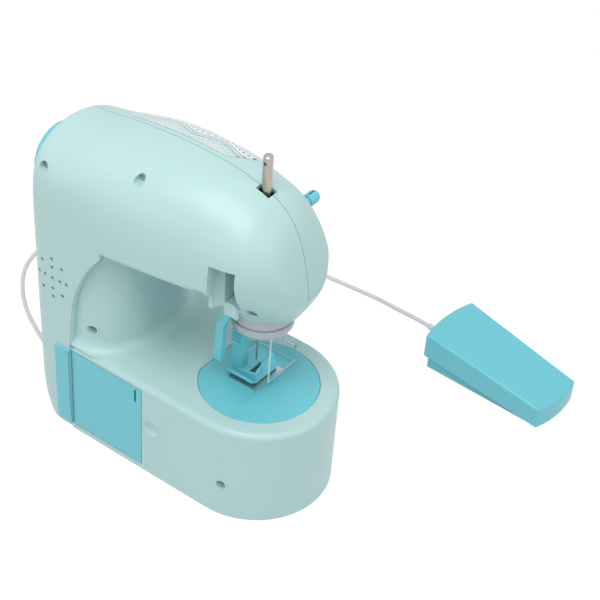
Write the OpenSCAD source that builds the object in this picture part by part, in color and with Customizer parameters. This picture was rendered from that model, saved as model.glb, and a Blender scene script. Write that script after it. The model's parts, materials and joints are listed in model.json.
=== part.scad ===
/* [Base] */
// Height of the bed above the table
base_h = 62; // [58:0.5:66]
// Radius of the round end, half the depth of the base
base_r = 43.5; // [42:0.5:46]
// Distance from the needle to the centre of the round end
base_end_x = 6; // [3:0.5:9]
// Distance of the base's middle line in front of the needle
base_mid_y = 4.5; // [4:0.1:5]
// Distance from the needle to the crease at the left end of the base
base_left = 90.8; // [89:0.2:93]
// Wall thickness of the base
base_wall = 2.4; // [2:0.1:2.8]
// Rounding of the edge round the bed
base_edge_r = 3.5; // [2.5:0.25:4]
// Thickness of the bottom plate
floor_t = 2.2; // [1.8:0.1:2.6]

/* [Column and arm] */
// Height of the top of the arm
arm_top = 190.5; // [186:0.5:194]
// Height of the underside of the arm
arm_under = 132; // [129:0.5:135]
// Distance from the needle to the left face of the column
column_left = 115; // [113:0.1:116]
// Distance from the needle to the tip of the head
head_right = 30; // [28:0.5:32]
// Depth of the column in front of the needle plane
front_depth = 49; // [48:0.25:50]
// Depth of the column behind the needle plane
rear_depth = 39; // [38:0.25:40]
// Wall thickness of the moulded halves
shell_wall = 2.2; // [1.8:0.1:2.6]
// Distance from the needle to the right face of the pillar
pillar_right = 61; // [58:0.5:63]
// Radius of the pillar's round corners
pillar_r = 30; // [26:0.5:32]
// Radius of the fillet where the pillar meets the bed
pillar_fillet = 7; // [4:0.5:9]

/* [Nose and guard] */
// Radius of the flange round the nose
nose_r = 16.8; // [16:0.2:18]
// Height of the underside of the nose ring
nose_z = 100; // [98:0.5:102]
// Height of the nose ring's flange
nose_flange_h = 4.6; // [3.5:0.1:5.5]
// Thickness of the clear guard
guard_t = 1.2; // [1:0.1:1.6]

/* [Door] */
// Width of the accessory door
door_w = 50.6; // [46:0.2:52]
// Thickness of the door
door_t = 2.2; // [1.8:0.1:2.6]
// Height of the rim under the door
door_rim_h = 3.8; // [3.2:0.1:4.5]

/* [Drive] */
// Height of the main shaft
shaft_z = 153.5; // [153:0.25:155]
// Distance of the main shaft in front of the needle
shaft_y = 12.5; // [12:0.25:13]
// Radius of the main shaft
shaft_r = 3; // [2.5:0.1:3.5]
// Radius of the hand wheel
wheel_r = 19.5; // [18:0.5:21]
// Thickness of the hand wheel
wheel_t = 12; // [11:0.5:13]
// Module of the gear teeth
gear_module = 0.8; // [0.75:0.05:0.85]
// Teeth on the main gear
main_teeth = 40; // [38:2:42]
// Teeth on the small wheel of the reduction gear
small_teeth = 12; // [12:1:13]
// Teeth on the large wheel of the reduction gear
large_teeth = 36; // [34:2:36]
// Teeth on the motor pinion
pinion_teeth = 10; // [10:1:11]
// Radius of the motor can
motor_r = 10; // [9:0.5:11]
// Length of the motor can
motor_len = 28; // [24:1:30]
// Height of the lower shaft
lower_z = 34; // [33:0.5:36]
// Radius of the belt pulleys where the belt runs
pulley_r = 7; // [6:0.25:8]

/* [Needle and presser] */
// Radius of the needle bar
bar_r = 2.6; // [2.4:0.05:2.8]
// Height of the top of the needle bar
bar_top = 202; // [198:0.5:206]
// Height of the needle's point at rest
needle_tip = 70; // [68:0.5:72]
// Full stroke of the needle bar
needle_stroke = 16; // [14:0.5:16]
// Radius of the presser bar
presser_r = 2; // [1.8:0.05:2.2]
// Lift of the presser foot
presser_lift = 4; // [3:0.25:4]
// Length of the lifter lever below its pivot
lifter_len = 40; // [36:0.5:42]

/* [Pedal] */
// Length of the pedal
pedal_len = 87; // [84:1:90]
// Width of the pedal's high end
pedal_w = 46; // [44:0.5:48]
// Width of the pedal's low end
pedal_toe_w = 37; // [35:0.5:40]
// Height of the pedal's high end
pedal_h = 26; // [24:0.5:28]
// Height of the pedal's low end
pedal_toe_h = 15; // [14:0.5:17]
// Wall thickness of the pedal cover
pedal_wall = 2; // [1.6:0.1:2.4]

/* [Cord] */
// Diameter of the cord
cord_d = 2.6; // [2.2:0.1:3]

/* [Hidden] */

$fn = 48;
over = 1;
big = 400;
seat = 0.1;
run_gap = 0.05;
part_gap = 0.4;

mint = [0.70, 0.86, 0.85];
turquoise = [0.42, 0.75, 0.80];
grey = [0.68, 0.70, 0.74];
steel = [0.78, 0.78, 0.80];
brass = [0.80, 0.66, 0.36];
white = [0.92, 0.92, 0.90];
dark = [0.20, 0.22, 0.24];

function mix(a, b, t) = a + (b - a) * t;
function power_of(v, e) = sign(v) * pow(abs(v), e);

// Crown of the column, arm and head, from the left face to the tip: share of the length, share of
// the height between underside and top, shares of the front and rear depths, squareness of the front
// and rear shoulders
crown_shares = [
  [0.000, 0.825, 0.930, 0.895, 4.8, 1.75],
  [0.007, 0.875, 0.962, 0.944, 4.8, 1.75],
  [0.025, 0.893, 0.985, 0.968, 4.6, 1.75],
  [0.060, 0.896, 0.996, 0.979, 4.2, 1.80],
  [0.115, 0.905, 0.999, 0.977, 3.8, 1.90],
  [0.220, 0.932, 0.989, 0.964, 3.3, 2.05],
  [0.321, 0.950, 0.966, 0.946, 2.9, 2.30],
  [0.430, 0.960, 0.928, 0.915, 2.6, 2.45],
  [0.540, 0.955, 0.888, 0.883, 2.5, 2.55],
  [0.667, 0.930, 0.826, 0.845, 2.4, 2.55],
  [0.745, 0.885, 0.786, 0.822, 2.3, 2.50],
  [0.788, 0.855, 0.762, 0.804, 2.3, 2.45],
  [0.844, 0.798, 0.716, 0.775, 2.2, 2.25],
  [0.903, 0.680, 0.622, 0.715, 2.1, 1.90],
  [0.938, 0.546, 0.520, 0.655, 2.0, 1.70],
  [0.972, 0.315, 0.360, 0.555, 2.0, 1.70],
  [0.993, 0.080, 0.180, 0.390, 2.0, 1.80],
  [1.000, -0.060, 0.060, 0.200, 2.0, 1.90]];

// Lower part of the arm and head at the same stations, from the ring that joins the column on: share of
// the length, shares of the waist and keel heights above the underside, squareness below the waist
keel_shares = [
  [0.000, 0.150, 0.000, 9.0],
  [0.321, 0.150, 0.000, 9.0],
  [0.667, 0.150, 0.000, 7.0],
  [0.745, 0.160, 0.000, 6.0],
  [0.788, 0.190, -0.140, 3.2],
  [0.844, 0.240, -0.390, 1.8],
  [0.903, 0.260, -0.430, 1.6],
  [0.938, 0.240, -0.390, 1.7],
  [0.972, 0.150, -0.270, 1.9],
  [0.993, 0.000, -0.150, 2.0],
  [1.000, -0.070, -0.080, 2.0]];

frame_len = column_left + head_right;
arm_h = arm_top - arm_under;
arm_ring = 6;
ring_points = 40;
column_lean_share = 0.015;
column_squareness = 12;
column_foot_in = 5;
column_foot_h = 30;
rear_fuller = 0.5;

function table_at(rows, s, k, i = 0) =
  (i >= len(rows) - 2 || s <= rows[i + 1][0])
    ? mix(rows[i][k], rows[i + 1][k], (s - rows[i][0]) / (rows[i + 1][0] - rows[i][0]))
    : table_at(rows, s, k, i + 1);

// One ring of the arm's or column's skin, inset by a wall, at the crown's station i
function skin_ring(i, inset, column) =
  let (row = crown_shares[i],
    s = row[0],
    x_in = (s < 0.5 ? 1 : -1) * inset * (i < 3 || i > len(crown_shares) - 5 ? 1 : 0),
    waist = arm_under + arm_h * table_at(keel_shares, s, 1),
    top = max(arm_under + arm_h * row[1] - inset, waist + over),
    keel = column ? inset : arm_under + arm_h * table_at(keel_shares, s, 2) + inset,
    low = min(keel, waist - over),
    square_low = column ? column_squareness : table_at(keel_shares, s, 3))
  [for (k = [0:ring_points - 1])
    let (a = 360 * k / ring_points,
      up = sin(a) >= 0,
      rear = cos(a) >= 0,
      e = 2 / (up ? row[rear ? 5 : 4] : square_low + (rear && !column ? rear_fuller : 0)),
      depth = max((rear ? rear_depth * row[3] : front_depth * row[2]) - inset, over),
      z = waist + (up ? top - waist : waist - low) * power_of(sin(a), e),
      tuck = column_foot_in * pow(max(column_foot_h - z, 0) / column_foot_h, 2),
      fade = column ? 1 - s / crown_shares[arm_ring][0] : 0,
      lean = (column_lean_share * max(arm_under - z, 0) + tuck) * fade)
    [-column_left + frame_len * s + x_in + lean, depth * power_of(cos(a), e), z]];

// Depth of the skin in front of or behind the needle plane at a point seen from the front
function skin_depth(x, z, rear) =
  let (s = (x + column_left) / frame_len,
    waist = arm_under + arm_h * table_at(keel_shares, s, 1),
    up = z > waist,
    limit = up ? arm_under + arm_h * table_at(crown_shares, s, 1)
      : arm_under + arm_h * table_at(keel_shares, s, 2),
    e = up ? table_at(crown_shares, s, rear ? 5 : 4) : table_at(keel_shares, s, 3) + (rear ? rear_fuller : 0),
    widest = rear ? rear_depth * table_at(crown_shares, s, 3) : front_depth * table_at(crown_shares, s, 2))
  widest * pow(1 - pow((z - waist) / (limit - waist), e), 1 / e);

// Closed skin through rings of equal length
module skin(rings) {
  n = len(rings[0]);
  last = len(rings) - 1;
  points = [for (ring = rings) each ring];
  sides = [for (i = [0:last - 1], k = [0:n - 1])
    let (a = i * n + k, b = i * n + (k + 1) % n) each [[a, b + n, b], [a, a + n, b + n]]];
  caps = [[for (k = [0:n - 1]) k], [for (k = [n - 1:-1:0]) last * n + k]];
  polyhedron(points = points, faces = concat(sides, caps), convexity = 6);
}

module column_skin(inset) {
  skin([for (i = [0:arm_ring]) skin_ring(i, inset, true)]);
}

module arm_skin(inset) {
  skin([for (i = [arm_ring:len(crown_shares) - 1]) skin_ring(i, inset, false)]);
}

// Outline of the arch under the arm, seen from the front, with the open side towards the head
arch_top_x = 66;
arch_rise_share = 0.38;
arch_lean = 2.8;
arch_steps = 10;
arch_squareness = 1.38;
module arch_outline(grow) {
  rise = mix(base_h, arm_under, arch_rise_share);
  polygon(concat(
    [[-base_left - grow, -over], [-base_left - grow, base_h],
      [-base_left + arch_lean - grow, rise]],
    [for (k = [1:arch_steps]) let (a = 90 * k / arch_steps)
      [-arch_top_x - grow - (base_left - arch_lean - arch_top_x) * pow(cos(a), 2 / arch_squareness),
        rise + (arm_under - rise) * pow(sin(a), 2 / arch_squareness)]],
    [[0, arm_under], [0, -over]]));
}

module along_y(y0, y1) {
  translate([0, y1, 0]) rotate([90, 0, 0]) linear_extrude(y1 - y0) children();
}

module along_x(x0, x1) {
  translate([x0, 0, 0]) rotate([90, 0, 90]) linear_extrude(x1 - x0) children();
}

// Rod along X, Y or Z from one point, with its length and radius
module rod_x(at, length, r) {
  translate(at) rotate([0, 90, 0]) cylinder(h = length, r = r);
}

module rod_y(at, length, r) {
  translate(at) rotate([-90, 0, 0]) cylinder(h = length, r = r);
}

module rod_z(at, length, r) {
  translate(at) cylinder(h = length, r = r);
}

module slab(low, high) {
  translate(low) cube(high - low);
}

// Base
base_left_x = -base_left;
base_y = -base_mid_y;
base_front = base_y - base_r;
base_rear = base_y + base_r;
bed_t = 3;

module base_half(r, h) {
  square([r - base_edge_r, h]);
  square([r, h - base_edge_r]);
  translate([r - base_edge_r, h - base_edge_r]) circle(r = base_edge_r);
}

module base_block(inset, h) {
  translate([base_end_x, base_y, 0]) {
    rotate_extrude($fn = 96) intersection() {
      base_half(base_r - inset, h);
      square(big);
    }
    translate([base_left_x - base_end_x, 0, 0]) rotate([90, 0, 90])
      linear_extrude(base_end_x - base_left_x) {
        base_half(base_r - inset, h);
        mirror([1, 0]) base_half(base_r - inset, h);
      }
  }
}

module pillar_outline(inset) {
  translate([base_left_x - over, base_front + inset + pillar_gap])
    square([over * 2, base_rear - base_front - 2 * (inset + pillar_gap)]);
  for (y = [pillar_low_y, pillar_high_y])
    translate([-pillar_right - pillar_r, y]) circle(r = pillar_r - inset, $fn = 96);
  translate([-pillar_right - pillar_r, pillar_low_y])
    square([pillar_r - inset, pillar_high_y - pillar_low_y]);
}
pillar_gap = 3.2;
pillar_low_y = base_front + pillar_gap + pillar_r;
pillar_high_y = base_rear - pillar_gap - pillar_r;

// Concave fillet profile, standing on the bed and leaning on the pillar
module fillet_profile() {
  difference() {
    translate([-over, -over]) square(pillar_fillet + over);
    translate([pillar_fillet, pillar_fillet]) circle(r = pillar_fillet);
  }
}

module pillar_skirt() {
  for (y = [pillar_low_y, pillar_high_y])
    translate([-pillar_right - pillar_r, y, base_h])
      rotate_extrude($fn = 96) translate([pillar_r, 0]) fillet_profile();
  translate([-pillar_right, pillar_high_y, base_h]) rotate([90, 0, 0])
    linear_extrude(pillar_high_y - pillar_low_y) fillet_profile();
}

screw_r = 1.5;
screw_head_r = 2.8;
pillar_screw_z = 75;
pillar_screw_x = 79.5;
pillar_screw_y = 41.4;
foot_screw_x = 15;
foot_screw_z = 22;
base_screw_sink = 5;
cup_wall = 1.4;
base_screw_spots = [[-pillar_screw_x, -pillar_screw_y, pillar_screw_z],
  [foot_screw_x, base_front + cup_wall, foot_screw_z]];
module base_screw_cups() {
  for (p = base_screw_spots) rod_y(p, base_screw_sink + cup_wall, screw_head_r + cup_wall);
}

module base_screw_holes() {
  for (p = base_screw_spots) {
    rod_y([p[0], base_front - over, p[2]], p[1] + base_screw_sink - base_front + over, screw_head_r);
    rod_y(p, base_screw_sink + cup_wall + over, screw_r);
  }
}

// Door opening in the front wall, with the hinge line at its left
door_left = base_left_x + part_gap;
door_right = door_left + door_w;
door_low = door_rim_h;
door_high = base_h - base_edge_r - part_gap;
hinge_r = door_t / 2;
hinge_x = door_left + hinge_r;
hinge_y = base_front + hinge_r;
pin_r = 1;
pin_len = 2.4;

// D-shaped plate let into the bed
plate_t = 2;
plate_left = 24;
plate_r = 32.8;
plate_gap = 0.3;
ledge = 3;
module plate_outline(grow) {
  intersection() {
    translate([base_end_x, base_y]) circle(r = plate_r + grow, $fn = 96);
    translate([-plate_left - grow, -big / 2]) square(big);
  }
}

scoop_x = 33;
scoop_z = 34;
scoop_r = 7;
scoop_depth = 2;
boss_r = 4;
boss_spots_shares = [[0.03, 0.84], [0.79, -0.76], [0.9, 0.4], [0.9, -0.3]];
function boss_at(s) = [mix(base_left_x, base_end_x + base_r, s[0]), base_y + base_r * s[1]];

module base_housing() color(mint) difference() {
  union() {
    difference() {
      base_block(0, base_h);
      intersection() {
        base_block(base_wall, base_h - bed_t);
        slab([base_left_x - over, -big, -over], [big, big, base_h]);
      }
      // way through the bed for the belt and the drive inside the pillar
      translate([0, 0, base_h - bed_t - over]) linear_extrude(bed_t + 2 * over)
        intersection() {
          pillar_outline(shell_wall);
          translate([base_left_x, -big / 2]) square(big);
        }
    }
    for (s = boss_spots_shares)
      translate([boss_at(s)[0], boss_at(s)[1], floor_t + seat])
        cylinder(h = base_h - bed_t / 2 - floor_t, r = boss_r);
    base_screw_cups();
    intersection() {
      union() {
        translate([0, 0, base_h - bed_t]) linear_extrude(arm_under - seat - base_h + bed_t)
          pillar_outline(0);
        pillar_skirt();
      }
      along_y(-big / 2, big / 2) difference() {
        arch_outline(-seat);
        translate([-big, -big]) square([big * 2, big + base_h - bed_t]);
      }
      slab([-big, base_front, 0], [big, base_rear, big]);
      union() {
        slab([-big, -big, base_h], [big, big, big]);
        base_block(0, base_h);
      }
    }
  }
  // hollow of the pillar
  difference() {
    translate([0, 0, base_h - bed_t - over]) linear_extrude(arm_under) pillar_outline(shell_wall);
    base_screw_cups();
  }
  // bosses are drilled for the bottom screws
  for (s = boss_spots_shares)
    translate([boss_at(s)[0], boss_at(s)[1], 0]) cylinder(h = base_h / 2, r = screw_r);
  // door opening and its hinge holes
  slab([base_left_x - over, base_front - over, door_low - part_gap],
    [door_right + part_gap, base_front + base_wall + over, door_high + part_gap]);
  rod_z([hinge_x, hinge_y, door_low - pin_len], door_high - door_low + 2 * pin_len, pin_r + run_gap);
  // bed plate seat
  translate([0, 0, base_h - plate_t - seat]) linear_extrude(plate_t + over) plate_outline(plate_gap);
  translate([0, 0, base_h - bed_t - over]) linear_extrude(bed_t + over) plate_outline(-ledge);
  // finger scoop beside the door and the screws sunk into the round end and the pillar
  translate([-scoop_x, base_front - scoop_r + scoop_depth, scoop_z]) sphere(r = scoop_r);
  base_screw_holes();
}

floor_gap = 0.3;
hatch_x0 = -38;
hatch_x1 = 16;
hatch_side = 10.5;
hatch_half = base_r - hatch_side;
lip = 1;
module floor_outline(grow) {
  hull() {
    translate([base_end_x, base_y]) circle(r = base_r - base_wall - floor_gap + grow, $fn = 64);
    translate([base_left_x + floor_gap - grow, base_y - base_r + base_wall + floor_gap - grow])
      square([over, 2 * (base_r - base_wall - floor_gap + grow)]);
  }
}

module bottom_plate() color(mint) difference() {
  linear_extrude(floor_t) floor_outline(0);
  slab([hatch_x0, base_y - hatch_half, -over], [hatch_x1, base_y + hatch_half, floor_t + over]);
  for (s = boss_spots_shares) translate([boss_at(s)[0], boss_at(s)[1], -over]) {
    cylinder(h = floor_t + 2 * over, r = screw_r + seat);
    cylinder(h = over + floor_t / 2, r = screw_head_r + seat);
  }
  for (p = pad_spots) translate([p[0], p[1], -over]) cylinder(h = over + pad_t, r = pad_r + seat);
}

module battery_door() color(mint) difference() {
  slab([hatch_x0 + part_gap, base_y - hatch_half + part_gap, 0],
    [hatch_x1 - part_gap, base_y + hatch_half - part_gap, floor_t]);
  for (k = [0:grip_count - 1])
    slab([hatch_x1 - grip_in - k * grip_step, base_y - grip_half, -over],
      [hatch_x1 - grip_in - k * grip_step + lip, base_y + grip_half, floor_t / 3]);
}
grip_count = 4;
grip_step = 2.4;
grip_in = 6;
grip_half = 9;

pad_r = 5;
pad_t = 1.2;
pad_side_share = 0.6;
pad_left_share = 0.5;
pad_right_share = 0.55;
pad_spots = [for (x = [base_left_x * pad_left_share, base_end_x + base_r * pad_right_share], s = [-1, 1])
  [x, base_y + s * base_r * pad_side_share]];
module base_pads() color(dark) for (p = pad_spots)
  translate([p[0], p[1], 0]) cylinder(h = pad_t - seat, r = pad_r);

strip_w = 9.6;
strip_t = 1.2;
module door_strip() color(turquoise) intersection() {
  difference() {
    column_skin(-strip_t);
    column_skin(-seat / 2);
  }
  slab([base_left_x - strip_w, -big, door_low], [base_left_x - seat, 0, door_high]);
}

latch_w = 1.5;
latch_h = 9;
latch_in = 3.6;
latch_z_share = 0.83;
module accessory_door() color(turquoise) {
  difference() {
    union() {
      slab([hinge_x, base_front, door_low], [door_right, base_front + door_t, door_high]);
      rod_z([hinge_x, hinge_y, door_low], door_high - door_low, hinge_r);
    }
    slab([door_right - latch_in - latch_w, base_front - over, base_h * latch_z_share - latch_h / 2],
      [door_right - latch_in, base_front + door_t + over, base_h * latch_z_share + latch_h / 2]);
  }
  for (z = [door_low - pin_len + part_gap, door_high - over])
    rod_z([hinge_x, hinge_y, z], pin_len - part_gap + over, pin_r);
}

box_wall = 1.2;
box_back = 20;
box_in = 3.2;
box_left = base_left_x + box_in;
box_front = base_front + base_wall + seat;
box_high = base_h - bed_t - base_edge_r;
module accessory_box() color(mint) difference() {
  slab([box_left, box_front, floor_t + seat], [door_right - seat, -box_back, box_high]);
  slab([box_left + box_wall, box_front - over, floor_t + seat + box_wall],
    [door_right - seat - box_wall, -box_back - box_wall, box_high - box_wall]);
}

needle_plate_w = 19;
needle_plate_l = 24;
slot_w = 2.6;
slot_l = 15;
slot_x = 5;
needle_hole_r = 1.2;
module bed_plate() color(turquoise) difference() {
  translate([0, 0, base_h - plate_t]) linear_extrude(plate_t) plate_outline(0);
  slab([-needle_plate_w / 2 - seat, -needle_plate_l / 2 - seat, base_h - plate_t - over],
    [needle_plate_w / 2 + seat, needle_plate_l / 2 + seat, base_h + over]);
}

module needle_plate() color(steel) difference() {
  slab([-needle_plate_w / 2, -needle_plate_l / 2, base_h - plate_t],
    [needle_plate_w / 2, needle_plate_l / 2, base_h]);
  for (s = [-1, 1])
    slab([s * slot_x - slot_w / 2, -slot_l / 2, base_h - plate_t - over],
      [s * slot_x + slot_w / 2, slot_l / 2, base_h + over]);
  rod_z([0, 0, base_h - plate_t - over], plate_t + 2 * over, needle_hole_r);
}

// Moulded halves of the column, arm and head
nose_x = 2.5;
nose_sleeve_r = 15.2;
nose_sleeve_top = 114.2;
nose_stub_z = 111.2;
nose_stub_low_r = 16.4;
head_flat = 20;
head_floor_t = 1.8;
nose_stub_r = 18;
notch_left = -5.5;
notch_right = 8.5;
notch_top = 153;
notch_back = 26.5;
notch_r = 7;
apron_in = 3.2;
apron_z = 118;
apron_step = 6;
slot_half_x = 4;
slot_half_y = 3.6;
bush_r = 5.5;
vent_r = 1.1;
vent_depth = 5;
vent_x = 101;
vent_z = 103.5;
vent_rings = [[0, 1], [7, 4], [12.6, 8]];
vent_squeeze = 0.78;
shell_screw_xz = [[-107, 170], [-54, 179], [12, 124]];
shell_screw_spots = [for (p = shell_screw_xz) [p[0], -skin_depth(p[0], p[1], false), p[1]]];
screw_sink = 6;
pivot_x = -2;
pivot_z = 119;
pivot_r = 2;

// Hollow stub under the arm that carries the nose ring
module nose_stub(inset) {
  translate([nose_x, 0, nose_stub_z - (inset > 0 ? over : 0)])
    cylinder(h = arm_under + shell_wall - nose_stub_z + (inset > 0 ? 2 * over : 0),
      r1 = nose_stub_low_r - inset, r2 = nose_stub_r - inset);
}

module frame_outer() {
  difference() {
    column_skin(0);
    along_y(-big / 2, big / 2) arch_outline(0);
  }
  difference() {
    union() {
      arm_skin(0);
      nose_stub(0);
    }
    below_head(0);
  }
}

module frame_inner() {
  difference() {
    column_skin(shell_wall);
    along_y(-big / 2, big / 2) arch_outline(shell_wall);
  }
  along_y(-front_depth + band_depth, rear_depth - band_depth) intersection() {
    translate([-column_left + frame_edge, shell_wall + over])
      square([column_left - arch_top_x - frame_edge, arm_under - shell_wall - over]);
    square(big * 2, center = true);
  }
  difference() {
    union() {
      arm_skin(shell_wall);
      nose_stub(shell_wall);
    }
    below_head(head_floor_t);
  }
}

// Flat underside of the head, round the nose
module below_head(floor) {
  slab([-head_flat, -big, -big], [big, big, nose_stub_z + floor]);
}
band_depth = 9;
frame_edge = 20;

module notch_block(grow) {
  slab([notch_left - grow, -big, 0], [notch_right + grow, -notch_back - notch_r, notch_top + grow]);
  slab([notch_left + notch_r - grow, -big, 0],
    [notch_right - notch_r + grow, -notch_back + grow, notch_top + grow]);
  for (x = [notch_left + notch_r, notch_right - notch_r])
    rod_z([x, -notch_back - notch_r, 0], notch_top + grow, notch_r + grow);
}

module vent_holes() {
  for (ring = vent_rings, k = [0:ring[1] - 1])
    let (a = 360 * k / ring[1] + 90)
      translate([-vent_x + ring[0] * vent_squeeze * cos(a), vent_depth - front_depth,
          vent_z + ring[0] * sin(a)])
        rotate([90, 0, 0]) cylinder(h = vent_depth + over, r = vent_r, $fn = 16);
}

module shell_body() {
  difference() {
    union() {
      difference() {
        frame_outer();
        frame_inner();
      }
      intersection() {
        arm_skin(0);
        notch_block(shell_wall);
        slab([-big, -big, 0], [big, -notch_back + 2 * shell_wall, big]);
      }
      // apron of the notch, down to the nose
      intersection() {
        notch_block(shell_wall);
        union() {
          slab([notch_left - shell_wall, -notch_back - notch_r, apron_z + apron_step],
            [notch_left + notch_r, -notch_back + shell_wall, arm_under + 2 * shell_wall]);
          slab([notch_left + apron_in, -notch_back - notch_r / 2, apron_z],
            [notch_right - apron_in, -notch_back + shell_wall, arm_under + 2 * shell_wall]);
        }
      }
    }
    notch_block(0);
    rod_z([nose_x, 0, 0], nose_sleeve_top + seat, nose_sleeve_r + seat);
    slab([-slot_half_x, -slot_half_y, arm_under], [slot_half_x, slot_half_y, big]);
    rod_x([-big / 2, -shaft_y, shaft_z], big / 2 - column_left + frame_edge, bush_r + seat);
    rod_y([pivot_x, lifter_y0, pivot_z], -lifter_y0, lifter_bush_r + seat);
  }
}

// Posts across the halves that take the screws
post_r = 3.8;
module shell_posts() {
  intersection() {
    crown_skin(0);
    for (p = shell_screw_spots) rod_y([p[0], p[1] - screw_sink, p[2]], big, post_r);
  }
}

module screw_holes() {
  for (p = shell_screw_spots) {
    rod_y([p[0], p[1] - screw_sink, p[2]], 2 * screw_sink, screw_head_r);
    rod_y([p[0], p[1], p[2]], screw_hole_len, screw_r);
  }
}
screw_hole_len = 30;

module front_shell() color(mint) difference() {
  intersection() {
    union() {
      shell_body();
      shell_posts();
    }
    slab([-big, -big, -big], [big, 0, big]);
  }
  vent_holes();
  screw_holes();
  rod_x([-big, machine_gland_y, machine_gland_z], big - column_left + frame_edge, gland_r + seat);
}

module rear_shell() color(mint) difference() {
  intersection() {
    union() {
      shell_body();
      shell_posts();
    }
    slab([-big, 0, -big], [big, big, big]);
  }
  screw_holes();
  rod_y([peg_x, 0, peg_z], big, peg_spigot_r + seat);
  difference() {
    translate([0, 0, shaft_z]) linear_extrude(arm_h) panel_outline(seat);
    crown_skin(panel_sink + seat / 2);
  }
}

// Printed panel let into the top of the rear half
panel_front = 3;
panel_rear = 27;
panel_left_x = -91;
panel_near_x = -27;
panel_far_x = -15;
panel_corner = 3;
panel_proud = 0.5;
panel_sink = 0.9;
panel_slant_share = 0.6;
module panel_outline(grow) {
  offset(r = panel_corner + grow, $fn = 24) offset(delta = -panel_corner)
    polygon([[panel_left_x, panel_front], [panel_near_x, panel_front],
      [panel_far_x, mix(panel_front, panel_rear, panel_slant_share)], [panel_far_x, panel_rear],
      [panel_left_x, panel_rear]]);
}

module crown_skin(inset) {
  column_skin(inset);
  arm_skin(inset);
}

module top_panel() color(white) intersection() {
  difference() {
    crown_skin(-panel_proud);
    crown_skin(panel_sink);
  }
  translate([0, 0, shaft_z]) linear_extrude(arm_h) panel_outline(0);
}

// Grey ring under the head, with a floor that the bars pass through
nose_bore_r = 13.2;
nose_floor_t = 2;
nose_lip = 1;
nose_groove_h = 1;
presser_x = -8.5;
presser_y = -3;
clamp_r = 4.2;
clamp_screw_len = 3.4;
clamp_screw_r = 2.2;

// Collar above the flange, level with the stub
module nose_collar() {
  z0 = nose_z + nose_flange_h + nose_groove_h;
  difference() {
    rod_z([nose_x, 0, z0], nose_stub_z - seat - z0, nose_stub_low_r - seat);
    rod_z([nose_x, 0, z0 - over], arm_under, nose_sleeve_r - seat);
  }
}

module nose_ring() color(grey) difference() {
  union() {
    nose_collar();
    translate([nose_x, 0, 0]) rotate_extrude($fn = 72) difference() {
      union() {
        translate([0, nose_z + nose_lip]) square([nose_r, nose_flange_h - 2 * nose_lip]);
        translate([0, nose_z]) square([nose_r - nose_lip, nose_flange_h]);
        for (z = [nose_z + nose_lip, nose_z + nose_flange_h - nose_lip])
          translate([nose_r - nose_lip, z]) circle(r = nose_lip, $fn = 24);
        translate([0, nose_z]) square([nose_sleeve_r, nose_sleeve_top - nose_z]);
      }
      translate([0, nose_z + nose_floor_t]) square([nose_bore_r, arm_under]);
    }
  }
  rod_z([0, 0, nose_z - over], arm_h, clamp_r + 2 * part_gap);
  slab([0, -clamp_screw_r - part_gap, nose_z - over],
    [clamp_r + clamp_screw_len + part_gap, clamp_screw_r + part_gap, arm_under]);
  rod_z([presser_x, presser_y, nose_z - over], arm_h, presser_r + part_gap);
}

// Clear guard hung from the ring behind the needle
guard_left = 13.6;
guard_right = 11.6;
guard_front = -3.5;
guard_rear = 21;
guard_low = 0.6;
guard_rear_h = 14;
guard_top_gap = 6;
guard_front_h = nose_z - base_h - guard_top_gap;
guard_flat_y = 3;
guard_neck_left = 4;
guard_neck_right = 8;
guard_neck_share = 0.6;
module guard_side() {
  polygon([[guard_front, base_h + guard_low], [guard_rear, base_h + guard_low],
    [guard_rear, base_h + guard_rear_h], [guard_flat_y, base_h + guard_front_h],
    [guard_front, base_h + guard_front_h]]);
}

module finger_guard() color([0.85, 0.93, 0.95, 0.4]) {
  neck_y = mix(guard_rear, guard_flat_y, guard_neck_share);
  neck_z = base_h + mix(guard_rear_h, guard_front_h, guard_neck_share);
  along_x(-guard_left, -guard_left + guard_t) guard_side();
  along_x(guard_right - guard_t, guard_right) guard_side();
  slab([-guard_left, guard_rear - guard_t, base_h + guard_low],
    [guard_right, guard_rear, base_h + guard_rear_h]);
  along_x(-guard_left, guard_right)
    polygon([[guard_rear, base_h + guard_rear_h], [neck_y, neck_z],
      [neck_y, neck_z - 2 * guard_t], [guard_rear, base_h + guard_rear_h - 2 * guard_t]]);
  slab([-guard_neck_left, neck_y, neck_z - 2 * guard_t],
    [guard_neck_right, neck_y + guard_t, nose_z - seat / 2]);
}

// Slit peg for the thread on the rear of the head
peg_x = 4.5;
peg_z = 161;
peg_r = 3.6;
peg_y = skin_depth(peg_x, peg_z - peg_r, true) + 3 * seat;
peg_len = 9;
peg_spigot_r = 2.2;
peg_spigot_len = 5;
peg_slit = 1;
module thread_peg() color(turquoise) difference() {
  union() {
    rod_y([peg_x, peg_y, peg_z], peg_len - peg_r, peg_r);
    translate([peg_x, peg_y + peg_len - peg_r, peg_z]) sphere(r = peg_r);
    rod_y([peg_x, peg_y - peg_spigot_len, peg_z], peg_spigot_len + over, peg_spigot_r);
  }
  slab([peg_x - peg_slit / 2, peg_y + over, peg_z - 2 * peg_r],
    [peg_x + peg_slit / 2, peg_y + peg_len - peg_r / 2, peg_z + 2 * peg_r]);
}

screw_head_t = 1.6;
screw_len = 12;
module half_screws() color(steel) for (p = shell_screw_spots) {
  rod_y([p[0], p[1] + screw_sink - seat - screw_head_t, p[2]], screw_head_t, screw_head_r - seat);
  rod_y([p[0], p[1] + screw_sink - seat - over, p[2]], screw_len, screw_r - seat);
}

base_screw_len = 3;
module base_screws() color(steel) for (p = base_screw_spots) {
  rod_y([p[0], p[1] + base_screw_sink - seat - screw_head_t, p[2]], screw_head_t, screw_head_r - seat);
  rod_y([p[0], p[1] + base_screw_sink - seat - over, p[2]], base_screw_len, screw_r - seat);
}

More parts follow.
